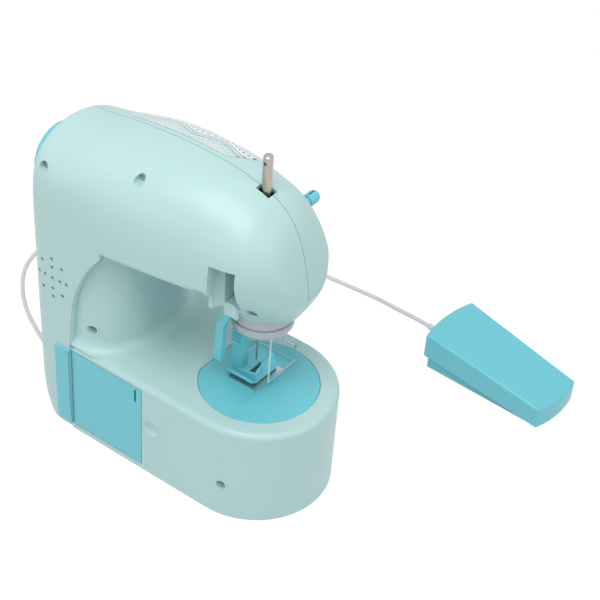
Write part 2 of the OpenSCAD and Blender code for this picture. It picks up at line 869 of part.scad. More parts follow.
module shell_screws() {
  half_screws();
  base_screws();
}

bottom_screw_len = 10;
module bottom_screws() color(steel) for (s = boss_spots_shares)
  translate([boss_at(s)[0], boss_at(s)[1], 0]) {
    translate([0, 0, seat]) cylinder(h = floor_t / 2 - 2 * seat, r = screw_head_r - seat);
    translate([0, 0, floor_t / 4]) cylinder(h = bottom_screw_len, r = screw_r - seat);
  }

// Drive inside the column and arm
fit_gap = 0.02;
wheel_gap = 1.5;
flange_t = 1.2;
wheel_x1 = -column_left - flange_t - wheel_gap;
wheel_x0 = wheel_x1 - wheel_t;
wheel_round = 4;
wheel_dish = 2;
wheel_hub_r = 7;
grip_notch_r = 1.4;
wheel_grips = 20;
module on_shaft(y = -shaft_y, z = shaft_z) {
  translate([0, y, z]) rotate([0, 90, 0]) children();
}

module hand_wheel() color(turquoise) on_shaft() difference() {
  translate([0, 0, wheel_x0]) rotate_extrude($fn = 72) difference() {
    union() {
      square([wheel_r - wheel_round, wheel_t]);
      translate([0, wheel_round]) square([wheel_r, wheel_t - wheel_round]);
      translate([wheel_r - wheel_round, wheel_round]) circle(r = wheel_round);
    }
    translate([wheel_hub_r, -over]) square([wheel_r - wheel_round - wheel_hub_r, wheel_dish + over]);
    translate([-big, 0]) square(big);
  }
  for (k = [0:wheel_grips - 1]) rotate(360 * k / wheel_grips)
    translate([wheel_r + grip_notch_r / 2, 0, wheel_x0 - over])
      cylinder(h = wheel_t + 2 * over, r = grip_notch_r, $fn = 20);
  translate([0, 0, wheel_x0 + wheel_dish]) cylinder(h = wheel_t + over, r = shaft_r + fit_gap);
}

bush_len = 9;
flange_r = 16.5;
module wheel_bush() color([0.78, 0.88, 0.92]) on_shaft() difference() {
  translate([0, 0, -column_left - flange_t]) {
    cylinder(h = flange_t - seat, r = flange_r);
    cylinder(h = flange_t + bush_len, r = bush_r);
  }
  translate([0, 0, -column_left - flange_t - over])
    cylinder(h = bush_len + flange_t + 2 * over, r = shaft_r + run_gap);
}

crank_x1 = -13;
module main_shaft() color(steel)
  rod_x([wheel_x0 + wheel_dish + seat, -shaft_y, shaft_z], crank_x1 - wheel_x0 - wheel_dish - seat, shaft_r);

// Toothed wheel seen along its axis, with a tooth at the phase angle
tooth_root_share = 0.30;
tooth_tip_share = 0.10;
addendum_share = 0.85;
dedendum_share = 1.1;
function pitch_r(teeth) = gear_module * teeth / 2;
module gear_outline(teeth, phase) {
  pitch = 360 / teeth;
  tip = pitch_r(teeth) + gear_module * addendum_share;
  root = pitch_r(teeth) - gear_module * dedendum_share;
  polygon([for (k = [0:teeth - 1]) let (a = phase + k * pitch)
    each [root * [cos(a - pitch * tooth_root_share), sin(a - pitch * tooth_root_share)],
      tip * [cos(a - pitch * tooth_tip_share), sin(a - pitch * tooth_tip_share)],
      tip * [cos(a + pitch * tooth_tip_share), sin(a + pitch * tooth_tip_share)],
      root * [cos(a + pitch * tooth_root_share), sin(a + pitch * tooth_root_share)]]]);
}

// Phase of wheel b in mesh with wheel a, where b lies from a in the direction given
function mesh_phase(phase_a, teeth_a, teeth_b, direction) =
  direction + 180 + 360 / teeth_b * (0.5 - (phase_a - direction) / (360 / teeth_a));

reduction_angle = -65;
motor_angle = 26;
function polar(r, a) = [r * cos(a), r * sin(a)];
main_at = [-shaft_y, shaft_z];
reduction_at = main_at + polar(pitch_r(main_teeth) + pitch_r(small_teeth), reduction_angle);
motor_at = reduction_at + polar(pitch_r(large_teeth) + pitch_r(pinion_teeth), motor_angle);
main_phase = 0;
small_phase = mesh_phase(main_phase, main_teeth, small_teeth, reduction_angle);
large_phase = small_phase;
pinion_phase = mesh_phase(large_phase, large_teeth, pinion_teeth, motor_angle);
gear_w = 4;
gear_gap = 0.6;
pulley_flange = 1;
belt_w = 4;
pulley_x0 = -98.5;
first_x0 = pulley_x0 + belt_w + 2 * pulley_flange + 2 * part_gap + gear_gap;
second_x0 = first_x0 + gear_w + gear_gap;
bracket_x0 = second_x0 + gear_w + gear_gap;
bracket_t = 2;
motor_x0 = bracket_x0 + bracket_t;
web_r_share = 0.72;
web_t = 1.2;
module gear_wheel(x0, at, teeth, phase, w, bore) {
  translate([0, at[0], at[1]]) difference() {
    along_x(x0, x0 + w) gear_outline(teeth, phase);
    rod_x([x0 - over, 0, 0], w + 2 * over, bore);
  }
}

module main_gear() color(white) difference() {
  gear_wheel(second_x0, main_at, main_teeth, main_phase, gear_w, shaft_r + fit_gap);
  on_shaft() for (z = [second_x0 - over, second_x0 + gear_w - web_t]) translate([0, 0, z])
    difference() {
      cylinder(h = web_t + over, r = pitch_r(main_teeth) * web_r_share);
      translate([0, 0, -over]) cylinder(h = web_t + 3 * over, r = shaft_r * 2);
    }
}

axle_r = 1.5;
module reduction_gear() color(white) {
  gear_wheel(first_x0, reduction_at, large_teeth, large_phase, gear_w, axle_r + run_gap);
  gear_wheel(first_x0 + gear_w, reduction_at, small_teeth, small_phase, gear_gap + gear_w - seat,
    axle_r + run_gap);
}

module gear_axle() color(steel)
  rod_x([first_x0 - seat, reduction_at[0], reduction_at[1]], bracket_x0 + bracket_t - first_x0, axle_r);

motor_shaft_r = 1;
module motor_pinion() color(brass) {
  gear_wheel(first_x0, motor_at, pinion_teeth, pinion_phase, gear_w, motor_shaft_r / 2);
  rod_x([first_x0, motor_at[0], motor_at[1]], motor_x0 - first_x0 + motor_len / 2, motor_shaft_r);
}

motor_flat_share = 0.76;
motor_boss_r = 3;
motor_boss_t = 1.6;
module motor() color(steel) translate([0, motor_at[0], motor_at[1]]) difference() {
  union() {
    intersection() {
      rod_x([motor_x0, 0, 0], motor_len, motor_r);
      slab([-big, -big, -motor_r * motor_flat_share], [big, big, motor_r * motor_flat_share]);
    }
    rod_x([motor_x0 + motor_len - over, 0, 0], motor_boss_t + over, motor_boss_r);
  }
  rod_x([motor_x0 - over, 0, 0], motor_len / 2 + 2 * over, motor_shaft_r + run_gap);
}

bracket_low = arm_under;
bracket_high = 165;
bracket_front = 41.5;
bracket_rear = 33;
bracket_side_share = 0.35;
bracket_top_share = 0.72;
module gear_bracket() color(white) difference() {
  along_x(bracket_x0, bracket_x0 + bracket_t)
    polygon([[-bracket_front, bracket_low], [bracket_rear, bracket_low],
      [bracket_rear, mix(bracket_low, bracket_high, bracket_side_share)],
      [bracket_rear * bracket_top_share, bracket_high], [-bracket_front * bracket_top_share, bracket_high],
      [-bracket_front, mix(bracket_low, bracket_high, bracket_side_share)]]);
  rod_x([bracket_x0 - over, -shaft_y, shaft_z], bracket_t + 2 * over, shaft_r + run_gap);
  rod_x([bracket_x0 - over, reduction_at[0], reduction_at[1]], bracket_t + 2 * over, axle_r + fit_gap);
  rod_x([bracket_x0 - over, motor_at[0], motor_at[1]], bracket_t + 2 * over, motor_boss_r);
}

// Belt from the main shaft down to the lower shaft
belt_t = 1.4;
belt_gap = 0.3;
module pulley(y, z, bore) {
  w = belt_w + 2 * pulley_flange + 2 * part_gap;
  on_shaft(y, z) difference() {
    translate([0, 0, pulley_x0]) union() {
      cylinder(h = w, r = pulley_r);
      for (x = [0, w - pulley_flange]) translate([0, 0, x])
        cylinder(h = pulley_flange, r = pulley_r + belt_t);
    }
    translate([0, 0, pulley_x0 - over]) cylinder(h = w + 2 * over, r = bore);
  }
}

lower_r = 2;
module upper_pulley() color(dark) pulley(-shaft_y, shaft_z, shaft_r + fit_gap);
module lower_pulley() color(dark) pulley(-shaft_y, lower_z, lower_r + fit_gap);

module belt_loop(r) {
  for (z = [lower_z, shaft_z]) translate([-shaft_y, z]) circle(r = r);
  translate([-shaft_y - r, lower_z]) square([2 * r, shaft_z - lower_z]);
}

module drive_belt() color(dark)
  along_x(pulley_x0 + pulley_flange + part_gap, pulley_x0 + pulley_flange + part_gap + belt_w) difference() {
    belt_loop(pulley_r + belt_gap + belt_t);
    belt_loop(pulley_r + belt_gap);
  }

module lower_shaft() color(steel)
  rod_x([pulley_x0, -shaft_y, lower_z], hook_x0 + hook_back_t - pulley_x0, lower_r);

bearing_w = 5;
bearing_xs = [-58, -26];
bearing_half = 5.4;
module lower_bearings() color(white) for (x = bearing_xs) difference() {
  slab([x, -shaft_y - bearing_half, lower_z - bearing_half],
    [x + bearing_w, -shaft_y + bearing_half, base_h - bed_t - seat]);
  rod_x([x - over, -shaft_y, lower_z], bearing_w + 2 * over, lower_r + run_gap);
}

// Rotary hook, its case and the bobbin under the needle
hook_x0 = -13;
hook_x1 = -3;
hook_back_t = 2;
hook_r = 12.4;
hook_wall = 1.4;
hook_gap = 0.5;
hook_mouth = 50;
module rotary_hook() color(steel) on_shaft(-shaft_y, lower_z) difference() {
  translate([0, 0, hook_x0]) cylinder(h = hook_x1 - hook_x0, r = hook_r);
  translate([0, 0, hook_x0 + hook_back_t]) cylinder(h = big, r = hook_r - hook_wall);
  translate([0, 0, hook_x0 + 2 * hook_back_t]) linear_extrude(big)
    polygon([[0, 0], polar(2 * hook_r, 0), polar(2 * hook_r, hook_mouth)]);
  translate([0, 0, hook_x0 - over]) cylinder(h = hook_back_t + 2 * over, r = lower_r + fit_gap);
}

case_r = hook_r - hook_wall - hook_gap;
case_wall = 1;
case_x0 = hook_x0 + hook_back_t + hook_gap;
finger_half = 3;
finger_t = 1.4;
module bobbin_case() color(steel) {
  on_shaft(-shaft_y, lower_z) difference() {
    translate([0, 0, case_x0]) cylinder(h = hook_x1 - case_x0, r = case_r);
    translate([0, 0, case_x0 + case_wall]) cylinder(h = big, r = case_r - case_wall);
  }
  slab([hook_x1 + seat, -shaft_y - finger_half, lower_z + case_r - 2 * case_wall],
    [hook_x1 + seat + finger_t, -shaft_y + finger_half, base_h - plate_t - seat]);
  slab([hook_x1 - over, -shaft_y - finger_half, lower_z + case_r - 2 * case_wall],
    [hook_x1 + seat + over, -shaft_y + finger_half, lower_z + case_r - case_wall]);
}

bobbin_r = case_r - 2 * case_wall - part_gap;
bobbin_core = 3;
bobbin_flange = 0.8;
module bobbin() color(white) on_shaft(-shaft_y, lower_z)
  translate([0, 0, case_x0 + case_wall + part_gap]) difference() {
    w = hook_x1 - case_x0 - case_wall - 2 * part_gap;
    union() {
      cylinder(h = w, r = bobbin_core * 2);
      for (z = [0, w - bobbin_flange]) translate([0, 0, z]) cylinder(h = bobbin_flange, r = bobbin_r);
    }
    translate([0, 0, -over]) cylinder(h = w + 2 * over, r = bobbin_core);
  }

// Feed dog under the needle plate, with a fork over its cam
rail_w = 2;
rail_l = 10;
rail_up = 0.6;
feed_teeth = 6;
feed_bar_down = 0.3;
feed_bar_top = base_h - bed_t - feed_bar_down;
feed_bar_t = 3;
feed_travel = 2;
needle_r = 0.45;
feed_hole_r = feed_travel + needle_r + part_gap;
feed_bar_side = 1.8;
feed_bar_half = feed_hole_r + feed_bar_side;
cam_x0 = -33.5;
cam_w = 5;
cam_r = 5;
cam_throw = 1.5;
fork_gap = cam_r + cam_throw + feed_travel + part_gap;
fork_t = 2;
fork_low = 3;
module feed_rail() {
  step = rail_l / feed_teeth;
  polygon(concat([[-rail_l / 2, feed_bar_top - over]],
    [for (k = [0:feed_teeth - 1]) each [[-rail_l / 2 + k * step, base_h + rail_up],
      [-rail_l / 2 + (k + 1) * step, base_h]]],
    [[rail_l / 2, feed_bar_top - over]]));
}

module feed_dog() color(steel) {
  difference() {
    slab([cam_x0, -feed_bar_half, feed_bar_top - feed_bar_t],
      [slot_x + rail_w / 2, feed_bar_half, feed_bar_top]);
    rod_z([0, 0, base_h - feed_bar_t * 3], base_h, feed_hole_r);
  }
  for (s = [-1, 1]) along_x(s * slot_x - rail_w / 2, s * slot_x + rail_w / 2) feed_rail();
  slab([cam_x0, -shaft_y - fork_gap - fork_t, feed_bar_top - feed_bar_t],
    [cam_x0 + cam_w, -feed_bar_half + over, feed_bar_top]);
  for (y = [-shaft_y - fork_gap - fork_t, -shaft_y + fork_gap])
    slab([cam_x0, y, lower_z - fork_low], [cam_x0 + cam_w, y + fork_t, feed_bar_top - over]);
}

module feed_cam() color(white) difference() {
  rod_x([cam_x0, -shaft_y + cam_throw, lower_z], cam_w, cam_r);
  rod_x([cam_x0 - over, -shaft_y, lower_z], cam_w + 2 * over, lower_r + fit_gap);
}

// Needle bar, its yoke and the crank that swings in front of the yoke
rest_up = needle_stroke / 3;
crank_throw = needle_stroke / 2;
crank_rest = 180 - asin(rest_up / crank_throw);
crank_pin_at = main_at + polar(crank_throw, crank_rest);
crank_hub_r = 6;
crank_x0 = -18.4;
crank_web_t = 3.4;
crank_pin_r = 1.4;
crank_pin_x1 = -6.4;
crank_hub_web_r = 4;
module crank() color(steel) {
  difference() {
    union() {
      rod_x([crank_x0, main_at[0], main_at[1]], crank_x1 - crank_x0, crank_hub_r);
      along_x(crank_x1 - crank_web_t, crank_x1) hull() {
        translate(main_at) circle(r = crank_hub_r);
        translate(crank_pin_at) circle(r = crank_hub_web_r / 2 + over / 2);
      }
    }
    rod_x([crank_x0 - over, main_at[0], main_at[1]], crank_x1 - crank_x0 + 2 * over, shaft_r + fit_gap);
  }
  rod_x([crank_x1 - over, crank_pin_at[0], crank_pin_at[1]], crank_pin_x1 - crank_x1 + over, crank_pin_r);
}

yoke_x0 = crank_pin_x1 + part_gap;
yoke_t = 2.8;
yoke_half_h = 3.6;
yoke_end = 1.6;
yoke_collar_r = 5;
yoke_slot_gap = 0.3;
module needle_yoke() color(steel) difference() {
  union() {
    slab([yoke_x0, -shaft_y - crank_throw - crank_pin_r - yoke_end, crank_pin_at[1] - yoke_half_h],
      [yoke_x0 + yoke_t, yoke_collar_r, crank_pin_at[1] + yoke_half_h]);
    rod_z([0, 0, crank_pin_at[1] - yoke_half_h], 2 * yoke_half_h, yoke_collar_r);
  }
  slab([yoke_x0 - over, -shaft_y - crank_throw - crank_pin_r - yoke_slot_gap,
      crank_pin_at[1] - crank_pin_r - yoke_slot_gap],
    [yoke_x0 + yoke_t, -shaft_y + crank_throw + crank_pin_r + yoke_slot_gap,
      crank_pin_at[1] + crank_pin_r + yoke_slot_gap]);
  rod_z([0, 0, arm_under], arm_h, bar_r + fit_gap);
}

bar_low = 96;
bar_eye_r = 0.9;
bar_eye_down = 4;
bar_chamfer = 0.6;
module needle_bar() color(steel) difference() {
  union() {
    rod_z([0, 0, bar_low], bar_top - bar_low - bar_chamfer, bar_r);
    translate([0, 0, bar_top - bar_chamfer]) cylinder(h = bar_chamfer, r1 = bar_r, r2 = bar_r - bar_chamfer);
  }
  rod_y([0, -big / 2, bar_top - bar_eye_down], big, bar_eye_r);
}

clamp_h = 10;
clamp_down = 3;
clamp_low = bar_low - clamp_down;
shank_r = 0.9;
shank_len = 6;
tip_len = 3;
module needle_clamp() color(steel) difference() {
  rod_z([0, 0, clamp_low], clamp_h, clamp_r);
  rod_z([0, 0, bar_low], clamp_h, bar_r + fit_gap);
  rod_z([0, 0, clamp_low - over], clamp_h, shank_r + fit_gap);
  rod_x([0, 0, clamp_low + clamp_h / 2], 2 * clamp_r, screw_r);
}

module clamp_screw() color(steel) {
  rod_x([bar_r + seat, 0, clamp_low + clamp_h / 2], clamp_r - bar_r, screw_r - seat);
  rod_x([clamp_r + seat / 2, 0, clamp_low + clamp_h / 2], clamp_screw_len, clamp_screw_r);
}

module needle() color(steel) {
  translate([0, 0, needle_tip]) cylinder(h = tip_len, r1 = needle_r / 4, r2 = needle_r);
  rod_z([0, 0, needle_tip + tip_len], bar_low - shank_len - needle_tip - tip_len, needle_r);
  rod_z([0, 0, bar_low - shank_len], shank_len - seat, shank_r);
}

// Bracket in the head that guides the bars and the shaft
frame_x0 = -22;
frame_t = 3;
frame_front = 24;
frame_rear = 9;
lug_t = 3;
lug_low = 136;
lug_high = 171;
lug_front = 7;
lug_rear = 5;
lug_right = 4.6;
frame_lift = 0.3;
frame_low = arm_under + shell_wall + frame_lift;
frame_high = 168;
module bar_frame() color(grey) difference() {
  union() {
    slab([frame_x0, -frame_front, frame_low], [frame_x0 + frame_t, frame_rear, frame_high]);
    slab([frame_x0, -lug_rear, frame_high - over], [frame_x0 + frame_t, lug_rear, lug_high + lug_t]);
    slab([frame_x0, -lug_front, lug_low], [lug_right, lug_rear, lug_low + lug_t]);
    slab([frame_x0, -lug_rear, lug_high], [lug_right, lug_rear, lug_high + lug_t]);
  }
  rod_x([frame_x0 - over, -shaft_y, shaft_z], frame_t + 2 * over, shaft_r + run_gap);
  rod_z([0, 0, frame_low], arm_h, bar_r + run_gap);
  rod_z([presser_x, presser_y, frame_low], arm_h / 4, presser_r + run_gap);
}

// Presser bar, foot and lifter
foot_post_top = 92;
presser_top = 140;
presser_low = 84;
module presser_bar() color(steel)
  rod_z([presser_x, presser_y, presser_low], presser_top - presser_low, presser_r);

cam_low_r = 3.5;
cam_rise = presser_lift / 90;
cam_span = 100;
cam_steps = 12;
lift_gap = 0.4;
cam_flat_up = 1;
collar_low = pivot_z + cam_low_r + cam_flat_up + lift_gap;
collar_h = 4;
collar_r = 3.4;
lifter_end_gap = 0.6;
lifter_y1 = presser_y - presser_r - lifter_end_gap;
cam_w_lift = 2;
cam_y0 = lifter_y1 - cam_w_lift;
module presser_collar() color(steel) difference() {
  union() {
    rod_z([presser_x, presser_y, collar_low], collar_h, collar_r);
    slab([presser_x, cam_y0, collar_low], [pivot_x, presser_y, collar_low + collar_h]);
  }
  rod_z([presser_x, presser_y, collar_low - over], collar_h + 2 * over, presser_r + fit_gap);
}

// One unbroken helical wire, closed at both ends
spring_rings = 8;
wire_sides = 6;
function helix_point(r, h, turns, t) = [r * cos(360 * turns * t), r * sin(360 * turns * t), h * t];
module coil_spring(r, h, wire_r, turns) {
  n = spring_rings * turns;
  skin([for (i = [0:n]) let (t = i / n, p = helix_point(r, h, turns, t), a = 360 * turns * t)
    [for (k = [0:wire_sides - 1]) let (b = -360 * k / wire_sides)
      p + wire_r * (cos(b) * [cos(a), sin(a), 0] + sin(b) * [0, 0, 1])]]);
}

spring_wire = 0.4;
presser_turns = 4;
module presser_spring() color(steel)
  translate([presser_x, presser_y, collar_low + collar_h + spring_wire + seat])
    coil_spring(presser_r + 2 * spring_wire, lug_low - collar_low - collar_h - 2 * spring_wire - 2 * seat,
      spring_wire, presser_turns);
echo(presser_spring_gap = (lug_low - collar_low - collar_h) / presser_turns - 2 * spring_wire);

sole_t = 1.6;
sole_left = 11;
sole_right = 6.6;
sole_front = 8;
sole_rear = 10;
toe_len = 4;
toe_up = 3;
post_left = 11.4;
post_right = 5.4;
post_front = 6.6;
post_rear = 0;
foot_slot_half = 1.6;
foot_slot_front = 4;
foot_slot_rear = 6;
wall_t = 1.4;
wall_h = 15;
rib_t = 0.5;
rib_count = 4;
rib_step = 2.4;
foot_gap = 0.3;
foot_z = base_h + rail_up + foot_gap;
module presser_foot() color(turquoise) difference() {
  union() {
    slab([-sole_left, -sole_front, foot_z], [sole_right, sole_rear, foot_z + sole_t]);
    along_x(-sole_left, sole_right)
      polygon([[-sole_front + seat, foot_z], [-sole_front + seat, foot_z + sole_t],
        [-sole_front - toe_len, foot_z + toe_up + sole_t],
        [-sole_front - toe_len - over / 2, foot_z + toe_up]]);
    slab([-post_left, -post_front, foot_z + sole_t / 2], [-post_right, post_rear, foot_post_top]);
    for (k = [0:rib_count - 1])
      slab([-post_left - rib_t, -post_front - rib_t, foot_post_top - (k + 1) * rib_step],
        [-post_right - over, post_rear - over, foot_post_top - (k + 1) * rib_step + rib_step / 2]);
    along_y(-sole_front, -sole_front + wall_t)
      polygon([[-post_right - over, foot_z], [sole_right, foot_z],
        [sole_right, foot_z + wall_h * wall_front_share],
        [-post_right - over, foot_z + wall_h * wall_front_share / 2]]);
    along_x(sole_right - wall_t, sole_right)
      polygon([[-sole_front, foot_z], [sole_rear, foot_z], [sole_rear / 2, foot_z + wall_h],
        [-sole_front, foot_z + wall_h * wall_front_share]]);
  }
  slab([-foot_slot_half, -foot_slot_front, foot_z - over], [foot_slot_half, foot_slot_rear, foot_z + wall_h]);
  rod_z([presser_x, presser_y, presser_low], arm_h, presser_r + fit_gap);
}
wall_front_share = 0.4;

lifter_y0 = -21.3;
lifter_hub_r = 4;
lifter_w = 5;
lifter_t = 3.6;
lifter_lean = 8.5;
lifter_knee_share = 0.4;
lifter_knee_lean_share = 0.88;
module presser_lifter() color(turquoise) {
  knee_x = pivot_x - lifter_lean * lifter_knee_lean_share;
  knee_z = pivot_z - lifter_len * lifter_knee_share;
  rod_y([pivot_x, lifter_y0, pivot_z], lifter_y1 - lifter_y0, pivot_r);
  along_y(lifter_y0, lifter_y0 + lifter_t) {
    translate([pivot_x, pivot_z]) circle(r = lifter_hub_r);
    polygon([[pivot_x - lifter_w / 2, pivot_z], [pivot_x + lifter_w / 2, pivot_z],
      [knee_x + lifter_w / 2, knee_z],
      [pivot_x + lifter_w / 2 - lifter_lean, pivot_z - lifter_len],
      [pivot_x - lifter_w / 2 - lifter_lean, pivot_z - lifter_len],
      [knee_x - lifter_w / 2, knee_z]]);
  }
  along_y(cam_y0, lifter_y1) translate([pivot_x, pivot_z])
    polygon(concat([for (k = [0:cam_steps]) let (a = cam_span * k / cam_steps, r = cam_low_r + cam_rise * a)
      [-r * sin(a), r * cos(a)]], [[0, -cam_low_r], [cam_low_r, 0]]));
}

// Bush in the wall of the nose that the lifter turns in
lifter_bush_r = 3.4;
lifter_bush_len = 4.8;
lifter_bush_gap = 0.3;
module lifter_bush() color(white) difference() {
  rod_y([pivot_x, lifter_y0 + lifter_t + lifter_bush_gap, pivot_z], lifter_bush_len, lifter_bush_r);
  rod_y([pivot_x, lifter_y0, pivot_z], -lifter_y0, pivot_r + run_gap);
}

// Battery pack over the hatch
cell_r = 7.1;
cell_len = 50.5;
cell_step = 15;
cell_count = 4;
cell_in = 1.8;
cell_x0 = hatch_x0 + cell_in;
cell_lift = 0.2;
cap_r = 2.6;
cap_len = 1;
function cell_y(k) = base_y + (k - (cell_count - 1) / 2) * cell_step;
module battery_cells() color(dark) for (k = [0:cell_count - 1]) {
  z = floor_t + cell_lift + cell_r;
  rod_x([cell_x0, cell_y(k), z], cell_len - cap_len, cell_r);
  rod_x([cell_x0 + cell_len - cap_len - over, cell_y(k), z], cap_len + over, cap_r);
}

contact_t = 0.6;
contact_half = 5;
module battery_contacts() color(brass) for (k = [0:cell_count - 1], x = [cell_x0 - contact_t - seat,
    cell_x0 + cell_len + seat])
  slab([x, cell_y(k) - contact_half, floor_t + cell_lift],
    [x + contact_t, cell_y(k) + contact_half, floor_t + 2 * cell_r]);

// Pedal on its own plate, joined to the machine by the cord; it lies with its long side along X, a
// little turned, and its middle on the table is the pedal's own origin
pedal_at = [76.4, 145.6, 0];
pedal_turn = -5.5;
pedal_back_bow = 88;
pedal_toe_bow = 73;
pedal_skirt_back = 10;
pedal_skirt_toe = 1.6;
pedal_in = 2.6;
pedal_plate_t = 2;
pedal_hinge_in = 8;
pedal_hinge_z = 6.6;
pedal_pin_r = 1.2;
pedal_ear_r = 2.8;
pedal_ear_w = 4;
pedal_ear_y = 6;
pedal_hinge_x = pedal_len / 2 - pedal_hinge_in;
pedal_gland_y = 3;
pedal_gland_z = 8;
gland_r = 2.6;
gland_neck_r = 2;
gland_slot = 1.2;
gland_rise = 6.4;
post_t = 2;
module on_pedal() {
  translate(pedal_at) rotate([0, 0, pedal_turn]) children();
}

// Plan of the pedal with bowed ends
module pedal_plan(inset) {
  offset(delta = -inset) intersection() {
    polygon([[-pedal_len / 2, -pedal_w / 2], [pedal_len / 2, -pedal_toe_w / 2],
      [pedal_len / 2, pedal_toe_w / 2], [-pedal_len / 2, pedal_w / 2]]);
    translate([pedal_back_bow - pedal_len / 2, 0]) circle(r = pedal_back_bow, $fn = 180);
    translate([pedal_len / 2 - pedal_toe_bow, 0]) circle(r = pedal_toe_bow, $fn = 180);
  }
}

// Side of the pedal between two sloping lines, given by their heights at back and toe
module pedal_side(low_back, low_toe, high_back, high_toe) {
  along_y(-pedal_w, pedal_w) polygon([[-pedal_len / 2, low_back], [pedal_len / 2, low_toe],
    [pedal_len / 2, high_toe], [-pedal_len / 2, high_back]]);
}

module pedal_cover() color(turquoise) on_pedal() {
  difference() {
    intersection() {
      linear_extrude(pedal_h + over) pedal_plan(0);
      pedal_side(pedal_skirt_back, pedal_skirt_toe, pedal_h, pedal_toe_h);
    }
    intersection() {
      translate([0, 0, -over]) linear_extrude(pedal_h + 2 * over) pedal_plan(pedal_wall);
      pedal_side(-over, -over, pedal_h - pedal_wall, pedal_toe_h - pedal_wall);
    }
    slab([-pedal_len / 2 - over, pedal_gland_y - gland_r - gland_slot, 0],
      [-pedal_len / 2 + 2 * pedal_in, pedal_gland_y + gland_r + gland_slot,
        pedal_gland_z + gland_r + gland_rise]);
  }
  for (s = [-1, 1]) difference() {
    union() {
      rod_y([pedal_hinge_x, s * pedal_ear_y - pedal_ear_w / 2, pedal_hinge_z], pedal_ear_w, pedal_ear_r);
      slab([pedal_hinge_x - pedal_ear_r, s * pedal_ear_y - pedal_ear_w / 2, pedal_hinge_z],
        [pedal_hinge_x + pedal_ear_r, s * pedal_ear_y + pedal_ear_w / 2, pedal_toe_h - pedal_wall / 2]);
    }
    rod_y([pedal_hinge_x, -big / 2, pedal_hinge_z], big, pedal_pin_r + run_gap);
  }
}

module pedal_base() color(turquoise) on_pedal() difference() {
  union() {
    linear_extrude(pedal_plate_t) pedal_plan(pedal_in);
    intersection() {
      linear_extrude(pedal_h) difference() {
        pedal_plan(pedal_in);
        pedal_plan(pedal_in + pedal_wall);
      }
      pedal_side(0, 0, pedal_skirt_back + pedal_drop, pedal_skirt_toe + pedal_drop);
    }
    slab([pedal_hinge_x - pedal_ear_r, -pedal_ear_y + pedal_ear_w / 2 + part_gap, 0],
      [pedal_hinge_x + pedal_ear_r, pedal_ear_y - pedal_ear_w / 2 - part_gap, pedal_hinge_z + pedal_ear_r]);
    rod_z([pedal_spring_x, 0, 0], pedal_plate_t + post_t, spring_post_r);
  }
  rod_y([pedal_hinge_x, -big / 2, pedal_hinge_z], big, pedal_pin_r + fit_gap);
  rod_x([-pedal_len / 2 - over, pedal_gland_y, pedal_gland_z], 4 * pedal_in, gland_neck_r + seat);
  for (p = pedal_pad_spots) translate([p[0], p[1], -over])
    cylinder(h = over + pedal_pad_t, r = pedal_pad_r + seat);
}

pedal_drop = 1.6;
pedal_spring_in = 26;
pedal_spring_x = -pedal_len / 2 + pedal_spring_in;
spring_post_r = 2.2;
pedal_pad_r = 4;
pedal_pad_t = 1;
pedal_pad_in = 15;
pedal_pad_y = 11;
pedal_pad_spots = [for (x = [-1, 1], s = [-1, 1]) [x * (pedal_len / 2 - pedal_pad_in), s * pedal_pad_y]];

module pedal_pin() color(steel) on_pedal()
  rod_y([pedal_hinge_x, -pedal_ear_y - pedal_ear_w / 2, pedal_hinge_z], 2 * pedal_ear_y + pedal_ear_w,
    pedal_pin_r);

pedal_spring_r = 3.4;
pedal_wire = 0.45;
pedal_turns = 5;
spring_free = 0.2;
spring_top = mix(pedal_h, pedal_toe_h, pedal_spring_in / pedal_len) - pedal_wall - spring_free
  - (pedal_spring_r + pedal_wire) * (pedal_h - pedal_toe_h) / pedal_len;
module pedal_spring() color(steel) on_pedal()
  translate([pedal_spring_x, 0, pedal_plate_t + pedal_wire + seat])
    coil_spring(pedal_spring_r, spring_top - pedal_plate_t - 2 * pedal_wire - seat, pedal_wire, pedal_turns);
echo(pedal_spring_gap = (spring_top - pedal_plate_t) / pedal_turns - 2 * pedal_wire);

switch_x = -2;
switch_l = 12;
switch_w = 6;
switch_h = 6;
button_r = 1.4;
button_h = 1.6;
module pedal_switch() color(dark) on_pedal() {
  slab([switch_x, -switch_w / 2, pedal_plate_t + seat],
    [switch_x + switch_l, switch_w / 2, pedal_plate_t + switch_h]);
  rod_z([switch_x + switch_l / 2, 0, pedal_plate_t + switch_h - over], button_h + over, button_r);
}

module pedal_pads() color(dark) on_pedal() for (p = pedal_pad_spots)
  translate([p[0], p[1], 0]) cylinder(h = pedal_pad_t - seat, r = pedal_pad_r);

// Cord and its strain reliefs
gland_len = 12;
gland_tip_r = 1.9;
gland_root = 5;
machine_gland_x = -111;
machine_gland_y = -14;
machine_gland_z = 8;
module machine_gland() color(white)
  translate([machine_gland_x, machine_gland_y, machine_gland_z]) rotate([0, -90, 0]) {
    cylinder(h = gland_len, r1 = gland_r, r2 = gland_tip_r);
    translate([0, 0, -gland_root]) cylinder(h = gland_root + over, r = gland_r);
  }

module pedal_gland() color(white) on_pedal() {
  rod_x([-pedal_len / 2 - over, pedal_gland_y, pedal_gland_z], 3 * pedal_in, gland_neck_r);
  translate([-pedal_len / 2 - over / 2, pedal_gland_y, pedal_gland_z]) rotate([0, -90, 0])
    cylinder(h = gland_len, r1 = gland_r, r2 = gland_tip_r);
}

